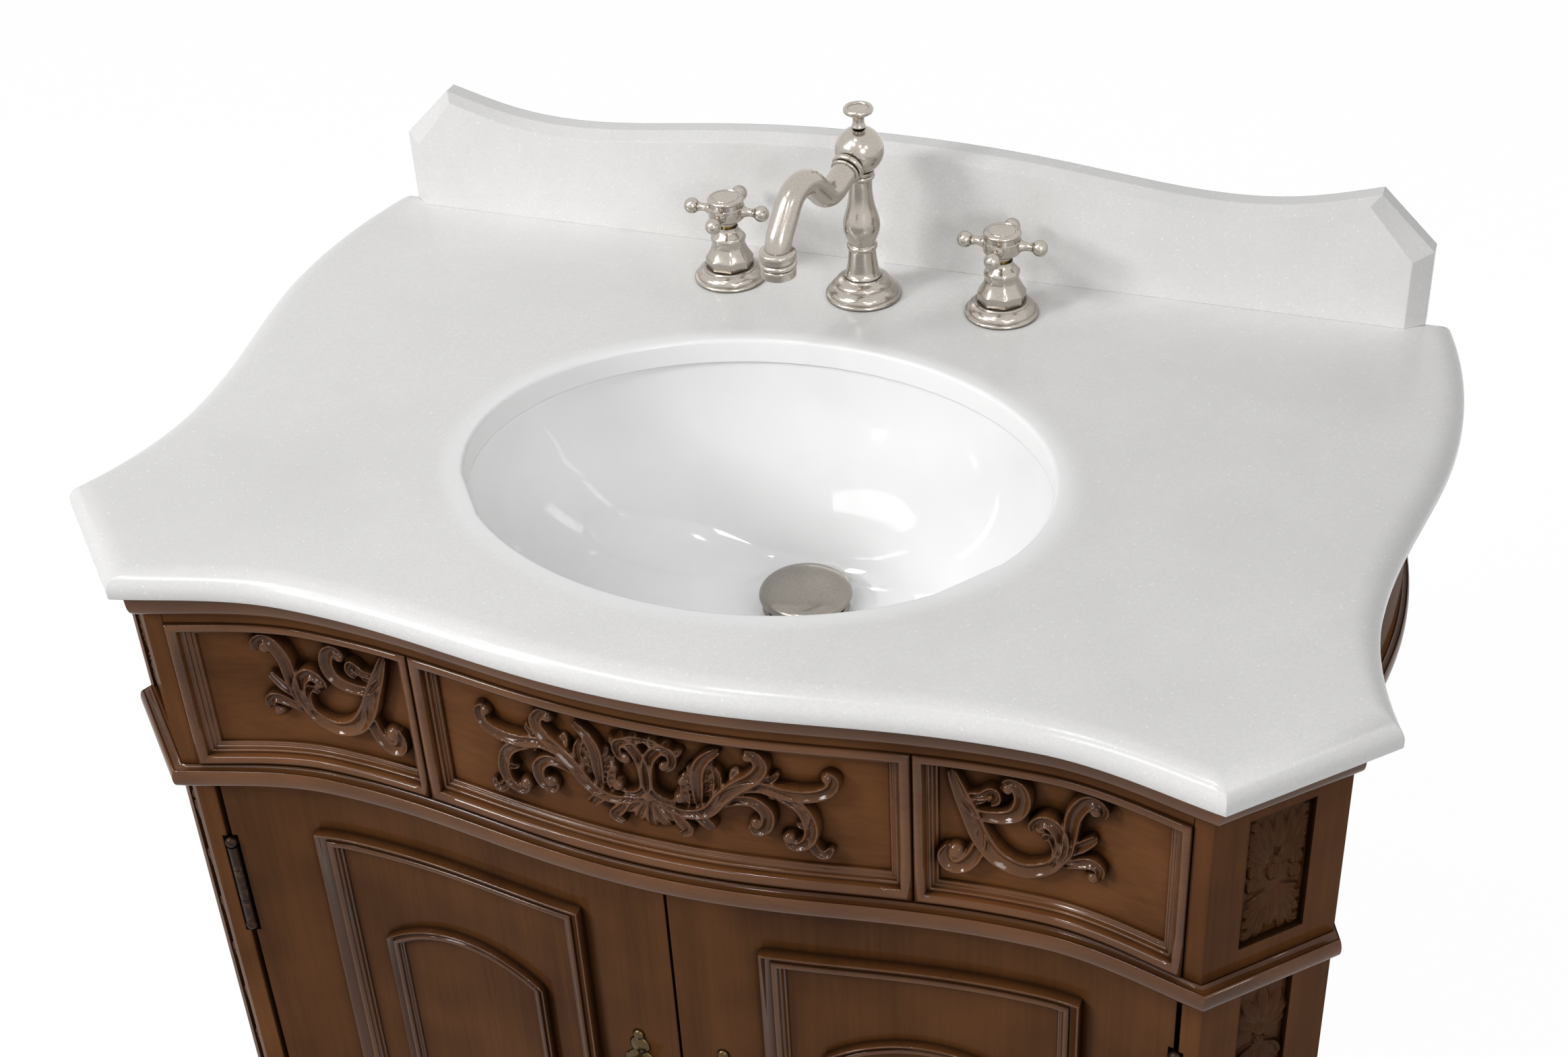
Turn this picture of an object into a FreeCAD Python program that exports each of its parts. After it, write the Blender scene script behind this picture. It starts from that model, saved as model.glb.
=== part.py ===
import FreeCAD, Part
import math
import os

# Serpentine-front vanity unit: marble top, undermount basin, faucet with pop-up drain, carved wood case.
# Millimetres. +Z up, front towards -Y, origin on the floor under the middle of the whole unit.

os.makedirs("parts", exist_ok=True)
V = FreeCAD.Vector
UP = V(0, 0, 1)
ROOT2 = math.sqrt(2.0)

# Marble top: plan outline
counter_height = 880.0
slab_thickness = 18.0
slab_half_width = 424.0
slab_depth = 520.0
corner_clip = 81.0
corner_setback = 1.3
bow_depth = 22.4
hollow_share = 0.685
side_hollow = 25.0
side_hollow_from_back = 329.0
side_bulge = 2.0
side_bulge_from_back = 129.0
side_back = 22.0
edge_flat = 6.0
edge_bevel = 18.0
edge_arris = 1.5

# Backsplash
splash_thickness = 22.0
splash_setback = 39.0
splash_shoulder = 56.0
splash_clip = 38.0
splash_dip = 76.2
splash_dip_share = 0.636
splash_crown = 93.0
splash_bevel_end = 13.0
splash_bevel_top = 5.0
splash_bevel_depth = 10.0

# Basin
bowl_half_length = 193.0
bowl_half_depth = 152.5
bowl_forward = 1.8
bowl_depth = 154.0
bowl_wall = 9.0
bowl_lip = 3.0
rim_width = 20.0
rim_thickness = 14.0
drain_behind = 79.3
drain_hole_r = 22.5
clip_thickness = 3.0
clip_width = 20.0
clip_foot = 16.0

# Faucet
faucet_from_back = 69.0
faucet_spread = 203.2
faucet_hole_r = 16.5
shank_r = 12.0
shank_below = 40.0
inlet_r = 10.4
inlet_length = 17.0
nut_r = 21.0
nut_height = 10.0
spout_flange_r = 27.0
handle_flange_r = 26.0
flange_step = 10.5
column_seat = 98.5
ball_height = 113.0
ball_r = 17.0
spigot_r = 7.0
spigot_length = 11.0
rod_bore_r = 3.5
spout_tube_r = 9.0
spout_reach = 111.6
spout_turn = -11.4
aerator_r = 12.6
aerator_bottom = 71.0
aerator_height = 19.0
bonnet_top = 41.5
bonnet_r = 17.2
spindle_r = 4.9
spindle_top = 52.0
handle_bottom = 43.4
handle_top = 64.5
hub_r = 13.2
arm_height = 54.0
arm_r = 3.0
arm_reach = 26.5
arm_ball_r = 5.9

# Pop-up drain
lift_rod_r = 2.2
knob_r = 10.2
knob_top = 145.4
knob_seat_gap = 0.5
lift_rod_below = 108.0
drain_flange_r = 31.0
drain_flange_thickness = 2.5
drain_neck_r = 20.0
drain_bore_r = 16.0
drain_body_r = 19.5
drain_body_length = 90.0
locknut_height = 8.5
locknut_r = 31.0
tail_r = 15.9
tail_wall = 1.5
tail_length = 60.0
cap_r = 33.0
cap_height = 10.0
cap_lift = 6.3
stem_r = 4.0
pivot_below = 68.0
pivot_ball_r = 6.0
pivot_arm = 24.0
pivot_rod_r = 2.5
port_wall = 3.5
port_length = 36.0
eye_r = 4.2
eye_width = 15.0
eye_thickness = 3.0
strap_width = 14.0
strap_thickness = 2.0
strap_hole_r = 4.6
strap_clamp = 14.0

# Wood case: how far each face stands behind the edge of the marble
frieze_front_in = 18.0
frieze_side_in = 24.0
recess_in = 27.0
case_front_in = 26.0
case_clip_in = 23.0
door_in = 28.0
board = 20.0
side_board = 26.0
lower_side_bulge = 24.0
lower_side_back = 28.0
post_wall = 40.0
post_depth = 46.0
case_back_gap = 4.0
back_thickness = 6.0
back_post = 34.0
frieze_height = 161.0
plinth_height = 100.0
base_height = 40.0
floor_thickness = 16.0
floor_rest = 14.0
plumbing_width = 420.0
plumbing_height = 330.0
plumbing_bottom = 310.0
block_width = 40.0
block_height = 32.0
block_reach = 34.0

# Mouldings and carving
top_mould_height = 20.0
top_mould_out = 9.0
waist_height = 15.6
waist_out = 9.0
base_out = 14.0
side_share = 0.7
side_frame_width = 13.4
centre_frame_width = 15.5
frame_front_in = 15.5
frieze_frame_low = 16.2
frieze_frame_high = 116.2
divider_share = 0.4972
door_frame_width = 15.0
door_frame_proud = 8.0
door_frame_margin = 61.5
door_frame_outer_margin = 59.0
door_frame_edge = 45.5
arch_width = 11.0
arch_proud = 6.0
arch_margin = 37.5
arch_drop = 69.0
arch_rise = 21.0
arch_foot = 36.0
side_frame_proud = 5.0
side_arch_proud = 4.0
carving_proud = 7.0
carving_height = 79.7
scroll_width = 159.4
ornament_half_width = 163.0
post_panel_width = 44.0
post_panel_depth = 5.0
post_panel_edge = 42.0
post_panel_low = 32.0
post_panel_height = 98.0
shell_panel_top = 14.0
shell_panel_height = 336.0
shell_panel_width = 36.0
plinth_out = 10.0
plinth_wall = 22.0
apron_height = 66.0
foot_length = 95.0
glide_r = 9.0
glide_height = 5.0

# Doors, hinges, pulls and catches
door_gap = 3.0
meeting_gap = 2.0
post_width = 101.6
hinge_in = 25.5
hinge_side_gap = 1.7
hinge_length = 70.0
hinge_from_end = 63.0
barrel_r = 4.0
hinge_pin_r = 2.2
hinge_tip_r = 4.6
leaf_thickness = 1.2
leaf_depth = 18.0
knuckle_share = 0.3
pull_x = 30.0
pull_top_below = 146.5
pull_height = 92.0
pull_plate = 3.0
pull_pin_r = 1.5
pull_pin_out = 12.0
pull_lug = 3.0
pull_eye_r = 3.6
pull_drop_r = 8.0
pull_drop_length = 44.0
catch_width = 56.0
catch_depth = 12.0
catch_drop = 17.0
catch_hold = 13.0

# Clearances
seat_gap = 0.15
running_gap = 0.05
part_gap = 0.4
relief_gap = 0.6

# Heights and lines worked out from the sizes above
front_y = -slab_depth / 2
back_y = slab_depth / 2
case_back = back_y - case_back_gap
slab_bottom = counter_height - slab_thickness
frieze_bottom = slab_bottom - frieze_height
case_bottom = plinth_height
rail_top = plinth_height + base_height
door_top = frieze_bottom - door_gap
door_bottom = rail_top + door_gap
faucet_y = back_y - faucet_from_back
bowl_y = (front_y + faucet_y) / 2 - bowl_forward
drain_y = bowl_y + drain_behind
bowl_floor = slab_bottom - bowl_depth
handle_x = faucet_spread / 2
hollow_x = hollow_share * (slab_half_width - corner_clip)
hinge_x = slab_half_width - post_width
divider_x = divider_share * hinge_x
splash_half_width = slab_half_width - splash_setback
splash_dip_x = splash_dip_share * splash_half_width
clip_line = slab_half_width - corner_clip - front_y - corner_setback
upper_plan = (side_bulge, side_back)
lower_plan = (lower_side_bulge, lower_side_back)


def bezier(poles, z):
    curve = Part.BezierCurve()
    curve.setPoles([V(x, y, z) for x, y in poles])
    return curve.toShape()


def path_edges(spans, z):
    edges = []
    for span in spans:
        if len(span) == 2:
            edges.append(Part.makeLine(V(span[0][0], span[0][1], z), V(span[1][0], span[1][1], z)))
        else:
            edges.append(bezier(span, z))
    return edges


def mirrored(spans):
    return [[(-x, y) for x, y in reversed(span)] for span in reversed(spans)]


def reversed_path(spans):
    return [list(reversed(span)) for span in reversed(spans)]


# Right half of the bow front, from its middle to the clipped corner, set back by front_in
def front_half(front_in, clip_in):
    middle = (0.0, front_y + front_in)
    dip = (hollow_x, front_y + bow_depth + front_in)
    corner_y = front_y + corner_setback + front_in
    corner = (clip_line - ROOT2 * clip_in + corner_y, corner_y)
    lead = 0.4 * hollow_x
    reach = corner[0] - hollow_x
    slope = 0.3 * (dip[1] - corner[1])
    bow = [middle, (lead, middle[1]), (hollow_x - lead, dip[1]), dip]
    ear = [dip, (hollow_x + 0.37 * reach, dip[1]), (corner[0] - 0.28 * reach, corner[1] + slope), corner]
    return [bow, ear]


# Right side from the clipped corner to the back, hollow then bowed, set in by side_in. The marble and the
# frieze below it bow out at the back; the lower case stays nearly straight there.
def side_half(clip_in, side_in, plan=upper_plan):
    bulge_in, back_in = plan
    edge_x = slab_half_width - side_in
    corner = (edge_x, edge_x - clip_line + ROOT2 * clip_in)
    hollow = (edge_x - side_hollow, back_y - side_hollow_from_back)
    bulge = (edge_x - bulge_in, back_y - side_bulge_from_back)
    back = (edge_x - back_in, back_y)
    fore = (hollow[1] - corner[1]) / 3
    middle = 0.36 * (bulge[1] - hollow[1])
    aft = (back[1] - bulge[1]) / 3
    lead = (corner[0] - 0.65 * side_hollow, corner[1] + fore)
    spans = [[corner, lead, (hollow[0], hollow[1] - fore), hollow]]
    spans.append([hollow, (hollow[0], hollow[1] + middle), (bulge[0], bulge[1] - middle), bulge])
    turn = back[0] + 0.682 * (bulge[0] - back[0])
    spans.append([bulge, (bulge[0], bulge[1] + aft), (turn, back[1] - aft), back])
    return spans


def outline(front_in, clip_in, side_in, z, plan=upper_plan):
    front = front_half(front_in, clip_in)
    side = side_half(clip_in, side_in, plan)
    half = front + [[front[-1][-1], side[0][0]]] + side
    end = half[-1][-1]
    spans = half + [[end, (-end[0], end[1])]] + mirrored(half)
    return Part.Wire(path_edges(spans, z))


def prism(front_in, clip_in, side_in, z0, z1, plan=upper_plan):
    return Part.Face(outline(front_in, clip_in, side_in, z0, plan)).extrude(V(0, 0, z1 - z0))


def front_band(outer_in, inner_in, z0, z1):
    outer = front_half(outer_in, outer_in)
    inner = front_half(inner_in, inner_in)
    outer = mirrored(outer) + outer
    inner = mirrored(inner) + inner
    ends = [[outer[-1][-1], inner[-1][-1]], [inner[0][0], outer[0][0]]]
    spans = outer + [ends[0]] + reversed_path(inner) + [ends[1]]
    return Part.Face(Part.Wire(path_edges(spans, z0))).extrude(V(0, 0, z1 - z0))


def side_band(outer_in, inner_in, y0, y1, z0, z1, plan):
    outer = side_half(case_clip_in, outer_in, plan)
    inner = side_half(case_clip_in, inner_in, plan)
    ends = [[outer[-1][-1], inner[-1][-1]], [inner[0][0], outer[0][0]]]
    spans = outer + [ends[0]] + reversed_path(inner) + [ends[1]]
    band = Part.Face(Part.Wire(path_edges(spans, z0))).extrude(V(0, 0, z1 - z0))
    return band.common(box(0, slab_half_width, y0, y1, z0, z1))


# Height of the front curve in plan: y of the marble's front edge at a given x
def front_edge_y(x):
    reach = abs(x)
    for span in front_half(0.0, 0.0):
        if reach <= span[3][0]:
            break
    low, high = 0.0, 1.0
    for step in range(40):
        t = (low + high) / 2
        weights = ((1 - t) ** 3, 3 * t * (1 - t) ** 2, 3 * t * t * (1 - t), t ** 3)
        here = [sum(w * p[axis] for w, p in zip(weights, span)) for axis in (0, 1)]
        if here[0] < reach:
            low = t
        else:
            high = t
    return here[1]


def box(x0, x1, y0, y1, z0, z1):
    return Part.makeBox(x1 - x0, y1 - y0, z1 - z0, V(x0, y0, z0))


def rod(radius, start, end):
    return Part.makeCylinder(radius, (end - start).Length, start, end - start)


def turned(profile, x, y, z):
    points = [V(r, 0, h) for r, h in profile]
    face = Part.Face(Part.makePolygon(points + [points[0]]))
    solid = face.revolve(V(0, 0, 0), UP, 360)
    solid.translate(V(x, y, z))
    return solid


def polygon_wire(sides, radius, x, y, z, turn=0.0):
    angles = [math.radians(turn + 360.0 * i / sides) for i in range(sides + 1)]
    return Part.makePolygon([V(x + radius * math.cos(a), y + radius * math.sin(a), z) for a in angles])


def hexagon(radius, x, y, z0, z1):
    return Part.Face(polygon_wire(6, radius, x, y, z0)).extrude(V(0, 0, z1 - z0))


def ellipse_wire(half_length, half_depth, y, z):
    curve = Part.Ellipse(V(0, y, z), half_length, half_depth)
    return Part.Wire(curve.toShape())


def fused(shapes):
    solid = shapes[0]
    if len(shapes) > 1:
        solid = solid.fuse(shapes[1:])
    return solid.removeSplitter()


def mirror(shape):
    return shape.mirror(V(0, 0, 0), V(1, 0, 0))


def save(name, shapes):
    solids = []
    for shape in shapes:
        solids.extend(shape.Solids)
    result = solids[0] if len(solids) == 1 else Part.makeCompound(solids)
    result.exportStep("parts/" + name + ".step")
    box_now = result.BoundBox
    valid = all(s.isValid() for s in solids)
    print(name, len(solids), "solids valid" if valid else "solids NOT VALID", [round(v, 1) for v in (
        box_now.XMin, box_now.XMax, box_now.YMin, box_now.YMax, box_now.ZMin, box_now.ZMax)])


# A moulding that runs round the front, the clipped corners and the sides: profile is (outward, height) pairs.
# It is cut back to each of the faces it sits on: posts, front boards and side panels.
def ring_moulding(front_in, clip_in, profile, plan):
    wires = []
    for out, z in profile:
        wires.append(outline(front_in - out, clip_in - out, frieze_side_in - side_share * out, z, plan))
    solid = Part.makeLoft(wires, True, True)
    low = profile[0][1]
    high = profile[-1][1]
    for seat_clip in (clip_in - seat_gap, front_in - seat_gap, case_clip_in - seat_gap):
        seat = prism(front_in - seat_gap, seat_clip, frieze_side_in - seat_gap, low - 1, high + 1, plan)
        solid = solid.cut(seat)
    return solid.common(box(-slab_half_width, slab_half_width, front_y, case_back, low, high))


def countertop():
    levels = [(edge_arris, slab_bottom), (0.0, slab_bottom + edge_arris), (0.0, slab_bottom + edge_flat)]
    rise = slab_thickness - edge_flat
    for step in range(1, 5):
        angle = math.radians(90.0 * step / 4)
        levels.append((edge_bevel * (1 - math.cos(angle)), slab_bottom + edge_flat + rise * math.sin(angle)))
    slab = Part.makeLoft([outline(inset, inset, inset, z) for inset, z in levels], True, True)
    hole = Part.Face(ellipse_wire(bowl_half_length, bowl_half_depth, bowl_y, slab_bottom - 1))
    slab = slab.cut(hole.extrude(V(0, 0, slab_thickness + 2)))
    for x in (-handle_x, 0, handle_x):
        slab = slab.cut(Part.makeCylinder(faucet_hole_r, slab_thickness + 2, V(x, faucet_y, slab_bottom - 1)))
    rim = [e for e in slab.Edges if abs(e.BoundBox.ZMin - counter_height) < 0.01
           and abs(e.BoundBox.XLength - 2 * bowl_half_length) < 0.1]
    return slab.makeFillet(bowl_lip, rim)


def splash_wire(end_in, top_in, y):
    half = splash_half_width - end_in
    shoulder = splash_shoulder - top_in
    peak_x = splash_half_width - splash_clip - end_in / 2
    peak = splash_shoulder + splash_clip - top_in
    dip = splash_dip - top_in
    crown = splash_crown - top_in
    slope = 0.45 * (peak_x - splash_dip_x)
    half_spans = [[(half, 0.0), (half, shoulder)], [(half, shoulder), (peak_x, peak)]]
    half_spans.append([(peak_x, peak), (peak_x - 0.3 * (peak_x - splash_dip_x), peak - 0.5 * (peak - dip)),
                       (splash_dip_x + slope, dip), (splash_dip_x, dip)])
    half_spans.append([(splash_dip_x, dip), (0.73 * splash_dip_x, dip),
                       (0.53 * splash_dip_x, crown), (0, crown)])
    spans = half_spans + mirrored(half_spans) + [[(-half, 0.0), (half, 0.0)]]
    edges = []
    for span in spans:
        points = [V(x, y, counter_height + h) for x, h in span]
        if len(points) == 2:
            edges.append(Part.makeLine(points[0], points[1]))
        else:
            curve = Part.BezierCurve()
            curve.setPoles(points)
            edges.append(curve.toShape())
    return Part.Wire(edges)


def backsplash():
    face_y = back_y - splash_thickness
    wires = [splash_wire(splash_bevel_end, splash_bevel_top, face_y)]
    wires.append(splash_wire(0, 0, face_y + splash_bevel_depth))
    wires.append(splash_wire(0, 0, back_y))
    return Part.makeLoft(wires, True, True)


# Bowl sections from rim to floor: share of the rim size, share of the depth, share of the shift to the drain
def bowl_sections(grow):
    shares = [(1.015, 0.0, 0.0), (0.985, 0.21, 0.02), (0.9, 0.47, 0.12), (0.725, 0.73, 0.36),
              (0.49, 0.92, 0.68), (0.27, 1.0, 1.0)]
    wires = []
    for size, drop, shift in shares:
        y = bowl_y + shift * (drain_y - bowl_y)
        z = slab_bottom - drop * (bowl_depth + grow)
        wires.append(ellipse_wire(bowl_half_length * size + grow, bowl_half_depth * size + grow, y, z))
    return wires


def sink_basin():
    inside = Part.makeLoft(bowl_sections(0.0), True, False)
    outside = Part.makeLoft(bowl_sections(bowl_wall), True, False)
    rim = Part.Face(ellipse_wire(bowl_half_length + rim_width, bowl_half_depth + rim_width, bowl_y,
                                 slab_bottom - rim_thickness))
    shell = outside.fuse(rim.extrude(V(0, 0, rim_thickness)))
    shell = shell.cut(inside)
    drain = Part.makeCylinder(drain_hole_r, 3 * bowl_wall, V(0, drain_y, bowl_floor - 2 * bowl_wall))
    return shell.cut(drain)


def sink_clips():
    clips = []
    under = slab_bottom - rim_thickness
    for turn in (35, 145, 215, 325):
        a = math.radians(turn)
        edge_x = (bowl_half_length + rim_width) * math.cos(a)
        edge_y = bowl_y + (bowl_half_depth + rim_width) * math.sin(a)
        out = math.degrees(math.atan2(math.sin(a) / bowl_half_depth, math.cos(a) / bowl_half_length))
        half = clip_width / 2
        foot = box(1.0, clip_foot, -half, half, under - clip_thickness, slab_bottom)
        tongue = box(-rim_width / 3, clip_foot, -half, half, under - clip_thickness, under)
        clip = fused([foot, tongue])
        clip.rotate(V(0, 0, 0), UP, out)
        clip.translate(V(edge_x, edge_y, 0))
        clips.append(clip)
    return clips


def post_region(inner_front, inner_clip, inner_side, z0, z1):
    solid = prism(inner_front, inner_clip, inner_side, z0, z1)
    solid = solid.cut(prism(inner_front + post_wall, inner_clip + post_wall, inner_side + post_wall, z0, z1))
    start = hinge_x + hinge_side_gap
    return solid.common(box(start, slab_half_width, front_y, side_start(), z0, z1))


# The clipped face of a post: middle point and a box laid on it, width along the face
def on_clip_face(clip_in, front_in, side_in, shape):
    corner = front_half(front_in, clip_in)[-1][-1]
    far = side_half(clip_in, side_in)[0][0]
    shape.rotate(V(0, 0, 0), UP, 45)
    shape.translate(V((corner[0] + far[0]) / 2, (corner[1] + far[1]) / 2, 0))
    return shape


def hinge_axis_y():
    return front_edge_y(hinge_x) + hinge_in


def hinge_bottoms():
    return [door_bottom + hinge_from_end, door_top - hinge_from_end - hinge_length]


def hinge_relief():
    cuts = []
    for z in hinge_bottoms():
        low = V(hinge_x, hinge_axis_y(), z - 2 * hinge_tip_r - relief_gap)
        high = V(hinge_x, hinge_axis_y(), z + hinge_length + 2 * hinge_tip_r + relief_gap)
        cuts.append(rod(hinge_tip_r + relief_gap, low, high))
    return cuts


def panel_levels():
    low = frieze_bottom + post_panel_low
    shell_top = frieze_bottom - shell_panel_top
    return [(low, low + post_panel_height, post_panel_width, frieze_front_in, frieze_front_in),
            (shell_top - shell_panel_height, shell_top, shell_panel_width, case_clip_in, case_front_in)]


def corner_post():
    upper = post_region(frieze_front_in, frieze_front_in, frieze_side_in, frieze_bottom, slab_bottom)
    lower = post_region(case_front_in, case_clip_in, frieze_side_in, case_bottom, frieze_bottom)
    post = fused([upper, lower])
    for low, high, width, clip_in, front_in in panel_levels():
        cut = box(-width / 2, width / 2, -post_panel_depth, post_panel_depth, low, high)
        post = post.cut(on_clip_face(clip_in, front_in, frieze_side_in, cut))
    return post.cut(hinge_relief())


# Low relief in the post panels: a rosette between leaves above, a shell over a leaf drop below
def post_carving():
    shapes = []
    for low, high, width, clip_in, front_in in panel_levels():
        middle = (low + high) / 2
        half = width / 2 - seat_gap
        plate = box(-half, half, post_panel_depth - 2.0, post_panel_depth - seat_gap,
                    low + seat_gap, high - seat_gap)
        leaves = []
        count = max(2, round((high - low) / width))
        for i in range(count):
            z = low + (i + 0.5) * (high - low) / count
            root = V(0, post_panel_depth - 1, z)
            leaves.append(Part.makeCone(half - 1, half / 2, carving_proud, root, V(0, -1, 0)))
        boss = Part.makeSphere(half / 2, V(0, post_panel_depth - 1 - carving_proud / 2, middle))
        keep = box(-half, half, -carving_proud, post_panel_depth - seat_gap, low, high)
        relief = fused([plate] + leaves + [boss]).common(keep)
        shapes.append(on_clip_face(clip_in, front_in, frieze_side_in, relief))
    return shapes


def frieze_board():
    inner = recess_in + board
    end = hinge_x + hinge_side_gap - part_gap
    core = front_band(recess_in, inner, frieze_bottom, slab_bottom)
    rail_low = frieze_bottom + frieze_frame_low
    rail_high = rail_low + frieze_frame_high
    foot = front_band(frieze_front_in, recess_in + 1, frieze_bottom, rail_low)
    head = front_band(frieze_front_in, recess_in + 1, rail_high, slab_bottom)
    keep = box(-end, end, front_y, 0, frieze_bottom, slab_bottom)
    return fused([core, foot, head]).common(keep)


def rectangle_ring(x0, x1, z0, z1, width):
    y0, y1 = front_y - 1, 0
    return box(x0, x1, y0, y1, z0, z1).cut(box(x0 + width, x1 - width, y0, y1, z0 + width, z1 - width))


# A stepped frame moulding on the bow front: high outer step, low inner step
def stepped_frame(x0, x1, z0, z1, width, base_in, proud):
    whole = rectangle_ring(x0, x1, z0, z1, width)
    outer = rectangle_ring(x0, x1, z0, z1, 0.55 * width)
    low = whole.common(front_band(base_in - 0.5 * proud, base_in - seat_gap, z0, z1))
    high = outer.common(front_band(base_in - proud, base_in - seat_gap, z0, z1))
    return fused([low, high])


def frieze_frames():
    z0 = frieze_bottom + frieze_frame_low + seat_gap
    z1 = z0 + frieze_frame_high - 2 * seat_gap
    proud = recess_in - frame_front_in
    outer = hinge_x + hinge_side_gap - part_gap - seat_gap
    side = stepped_frame(divider_x + part_gap / 2, outer, z0, z1, side_frame_width, recess_in, proud)
    half = divider_x - part_gap / 2
    middle = stepped_frame(-half, half, z0, z1, centre_frame_width, recess_in, proud)
    return [mirror(side), middle, side]


# A carved ribbon in the XZ plane along a smooth line of points, tapered to both ends, run through in Y
def ribbon(points, width):
    count = len(points)
    sides = ([], [])
    for i, (x, z) in enumerate(points):
        before = points[max(i - 1, 0)]
        after = points[min(i + 1, count - 1)]
        dx, dz = after[0] - before[0], after[1] - before[1]
        length = math.hypot(dx, dz)
        half = width * (0.25 + 0.25 * math.sin(math.pi * i / (count - 1)))
        for way, side in zip((1, -1), sides):
            side.append(V(x - way * half * dz / length, 0, z + way * half * dx / length))
    edges = []
    for side in sides:
        curve = Part.BSplineCurve()
        curve.interpolate(side)
        edges.append(curve.toShape())
    edges.append(Part.makeLine(sides[0][0], sides[1][0]))
    edges.append(Part.makeLine(sides[0][-1], sides[1][-1]))
    face = Part.Face(Part.Wire(Part.__sortEdges__(edges)))
    return face.extrude(V(0, front_y, 0))


def scroll_disc(x, z, radius):
    return Part.makeCylinder(radius, -front_y, V(x, 0, z), V(0, -1, 0))


def frieze_middle():
    return frieze_bottom + carving_height


# Carving about a middle point: ribbons are (width, points), round ends are (x, z, radius)
def carved(middle_x, spread, ribbons, ends):
    z = frieze_middle()
    shapes = []
    for width, points in ribbons:
        shapes.append(ribbon([(middle_x + spread * x, z + dz) for x, dz in points], width))
    for x, dz, radius in ends:
        shapes.append(scroll_disc(middle_x + spread * x, z + dz, radius))
    return shapes


def relief(shapes, x0, x1):
    edge = max(side_frame_width, centre_frame_width) + part_gap
    low = frieze_bottom + frieze_frame_low + edge
    high = low + frieze_frame_high - 2 * edge
    skin = front_band(recess_in - carving_proud, recess_in - seat_gap, low, high)
    return fused(shapes).common(skin).common(box(x0, x1, front_y, 0, low, high))


# Side panel: a long leaf that sweeps down and up into curls
def side_scroll():
    ribbons = [(8, [(-59, 38), (-55, 26), (-50, 11), (-43, -7), (-33, -21), (-18, -27), (-4, -22), (4, -11)]),
               (6, [(1, -19), (7, -7), (9, 8), (11, 24), (17, 36), (24, 38)]),
               (6.5, [(-2, -21), (4, -8), (4, 5), (-1, 13), (-7, 14), (-12, 8)]),
               (5, [(6, -9), (12, -2), (17, 3), (24, 10)]),
               (5, [(3, -19), (13, -13), (22, -9), (27, -13), (26, -20)]),
               (7, [(-55, 20), (-46, 11), (-33, 11), (-23, 16), (-19, 26), (-22, 34), (-28, 37)]),
               (6.5, [(-44, -1), (-44, -12), (-48, -24), (-55, -31), (-61, -29)])]
    ends = [(24, 32, 6.5), (23, -22, 5), (-56, -22, 8.5)]
    middle = (divider_x + hinge_x) / 2
    shapes = carved(middle, (hinge_x - divider_x) / scroll_width, ribbons, ends)
    return relief(shapes, divider_x + side_frame_width + part_gap, hinge_x - side_frame_width - part_gap)


# Centre panel: a shell under paired C-scrolls, with leafy branches to both sides
def centre_scroll():
    ribbons = [(6, [(11, 13), (17, 20), (16, 28), (10, 31), (4, 22), (1.5, 9), (3, -3), (9, -10), (17, -12)]),
               (5, [(-2, 36), (9, 35), (17, 29)]),
               (6.5, [(5, -13), (23, -16), (37, -12), (47, 1), (56, 11), (67, 20), (72, 29), (68, 36),
                      (62, 36)]),
               (8, [(32, -12), (32, 3), (33, 19), (38, 29), (46, 35)]),
               (6, [(41, -7), (52, 6), (69, 12), (85, 10), (100, 10), (110, 15), (113, 23), (108, 27)]),
               (6, [(41, -10), (54, -2), (66, 0), (73, -7), (73, -17), (67, -22)]),
               (6, [(69, 11), (84, 6), (95, -1), (100, -14), (98, -26), (90, -31)]),
               (4.5, [(99, -19), (101, -31), (107, -36), (111, -32)]),
               (5, [(12, -15), (19, -22), (24, -29), (19, -35)]),
               (5, [(28, -14), (36, -20), (41, -27)])]
    ends = [(12, 19, 5), (20, -9, 5), (67, -17, 5.5), (86, -27, 5.5)]
    half = carved(0.0, divider_x / ornament_half_width, ribbons, ends)
    shell = [scroll_disc(0, frieze_middle() - 20, 15)]
    reach = divider_x - centre_frame_width - part_gap
    return relief(shell + half + [mirror(s) for s in half], -reach, reach)


def top_moulding():
    top = slab_bottom - seat_gap
    bottom = top - top_mould_height
    rise = top_mould_height * 0.62
    profile = [(0.6, bottom)]
    for step in range(1, 6):
        angle = math.radians(90.0 * step / 5)
        profile.append((0.6 + (top_mould_out - 0.6) * math.sin(angle), bottom + rise * (1 - math.cos(angle))))
    profile.append((top_mould_out, top))
    return ring_moulding(frieze_front_in, frieze_front_in, profile, upper_plan)


# Waist moulding: a half-round nose under a small cove
def waist_moulding():
    bottom = frieze_bottom + seat_gap
    nose = 0.9 * waist_height
    root = 0.45 * waist_out
    profile = []
    for step in range(0, 7):
        angle = math.radians(-90.0 + 180.0 * step / 6)
        out = root + (waist_out - root) * math.cos(angle)
        profile.append((out, bottom + nose / 2 * (1 + math.sin(angle))))
    profile.append((0.3 * waist_out, bottom + 0.93 * waist_height))
    profile.append((0.12 * waist_out, bottom + 0.96 * waist_height))
    profile.append((0.07 * waist_out, bottom + waist_height - 2 * seat_gap))
    return ring_moulding(frieze_front_in, frieze_front_in, profile, upper_plan)


def base_moulding():
    bottom = plinth_height + seat_gap
    profile = [(base_out, bottom), (base_out, bottom + 0.45 * base_height)]
    for step in range(0, 5):
        angle = math.radians(90.0 * step / 4)
        out = 1.0 + (base_out - 4.0) * math.cos(angle)
        profile.append((out, bottom + base_height * (0.48 + 0.45 * math.sin(angle))))
    profile.append((0.8, bottom + base_height - 2 * seat_gap))
    return ring_moulding(case_front_in, case_clip_in, profile, lower_plan)


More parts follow.
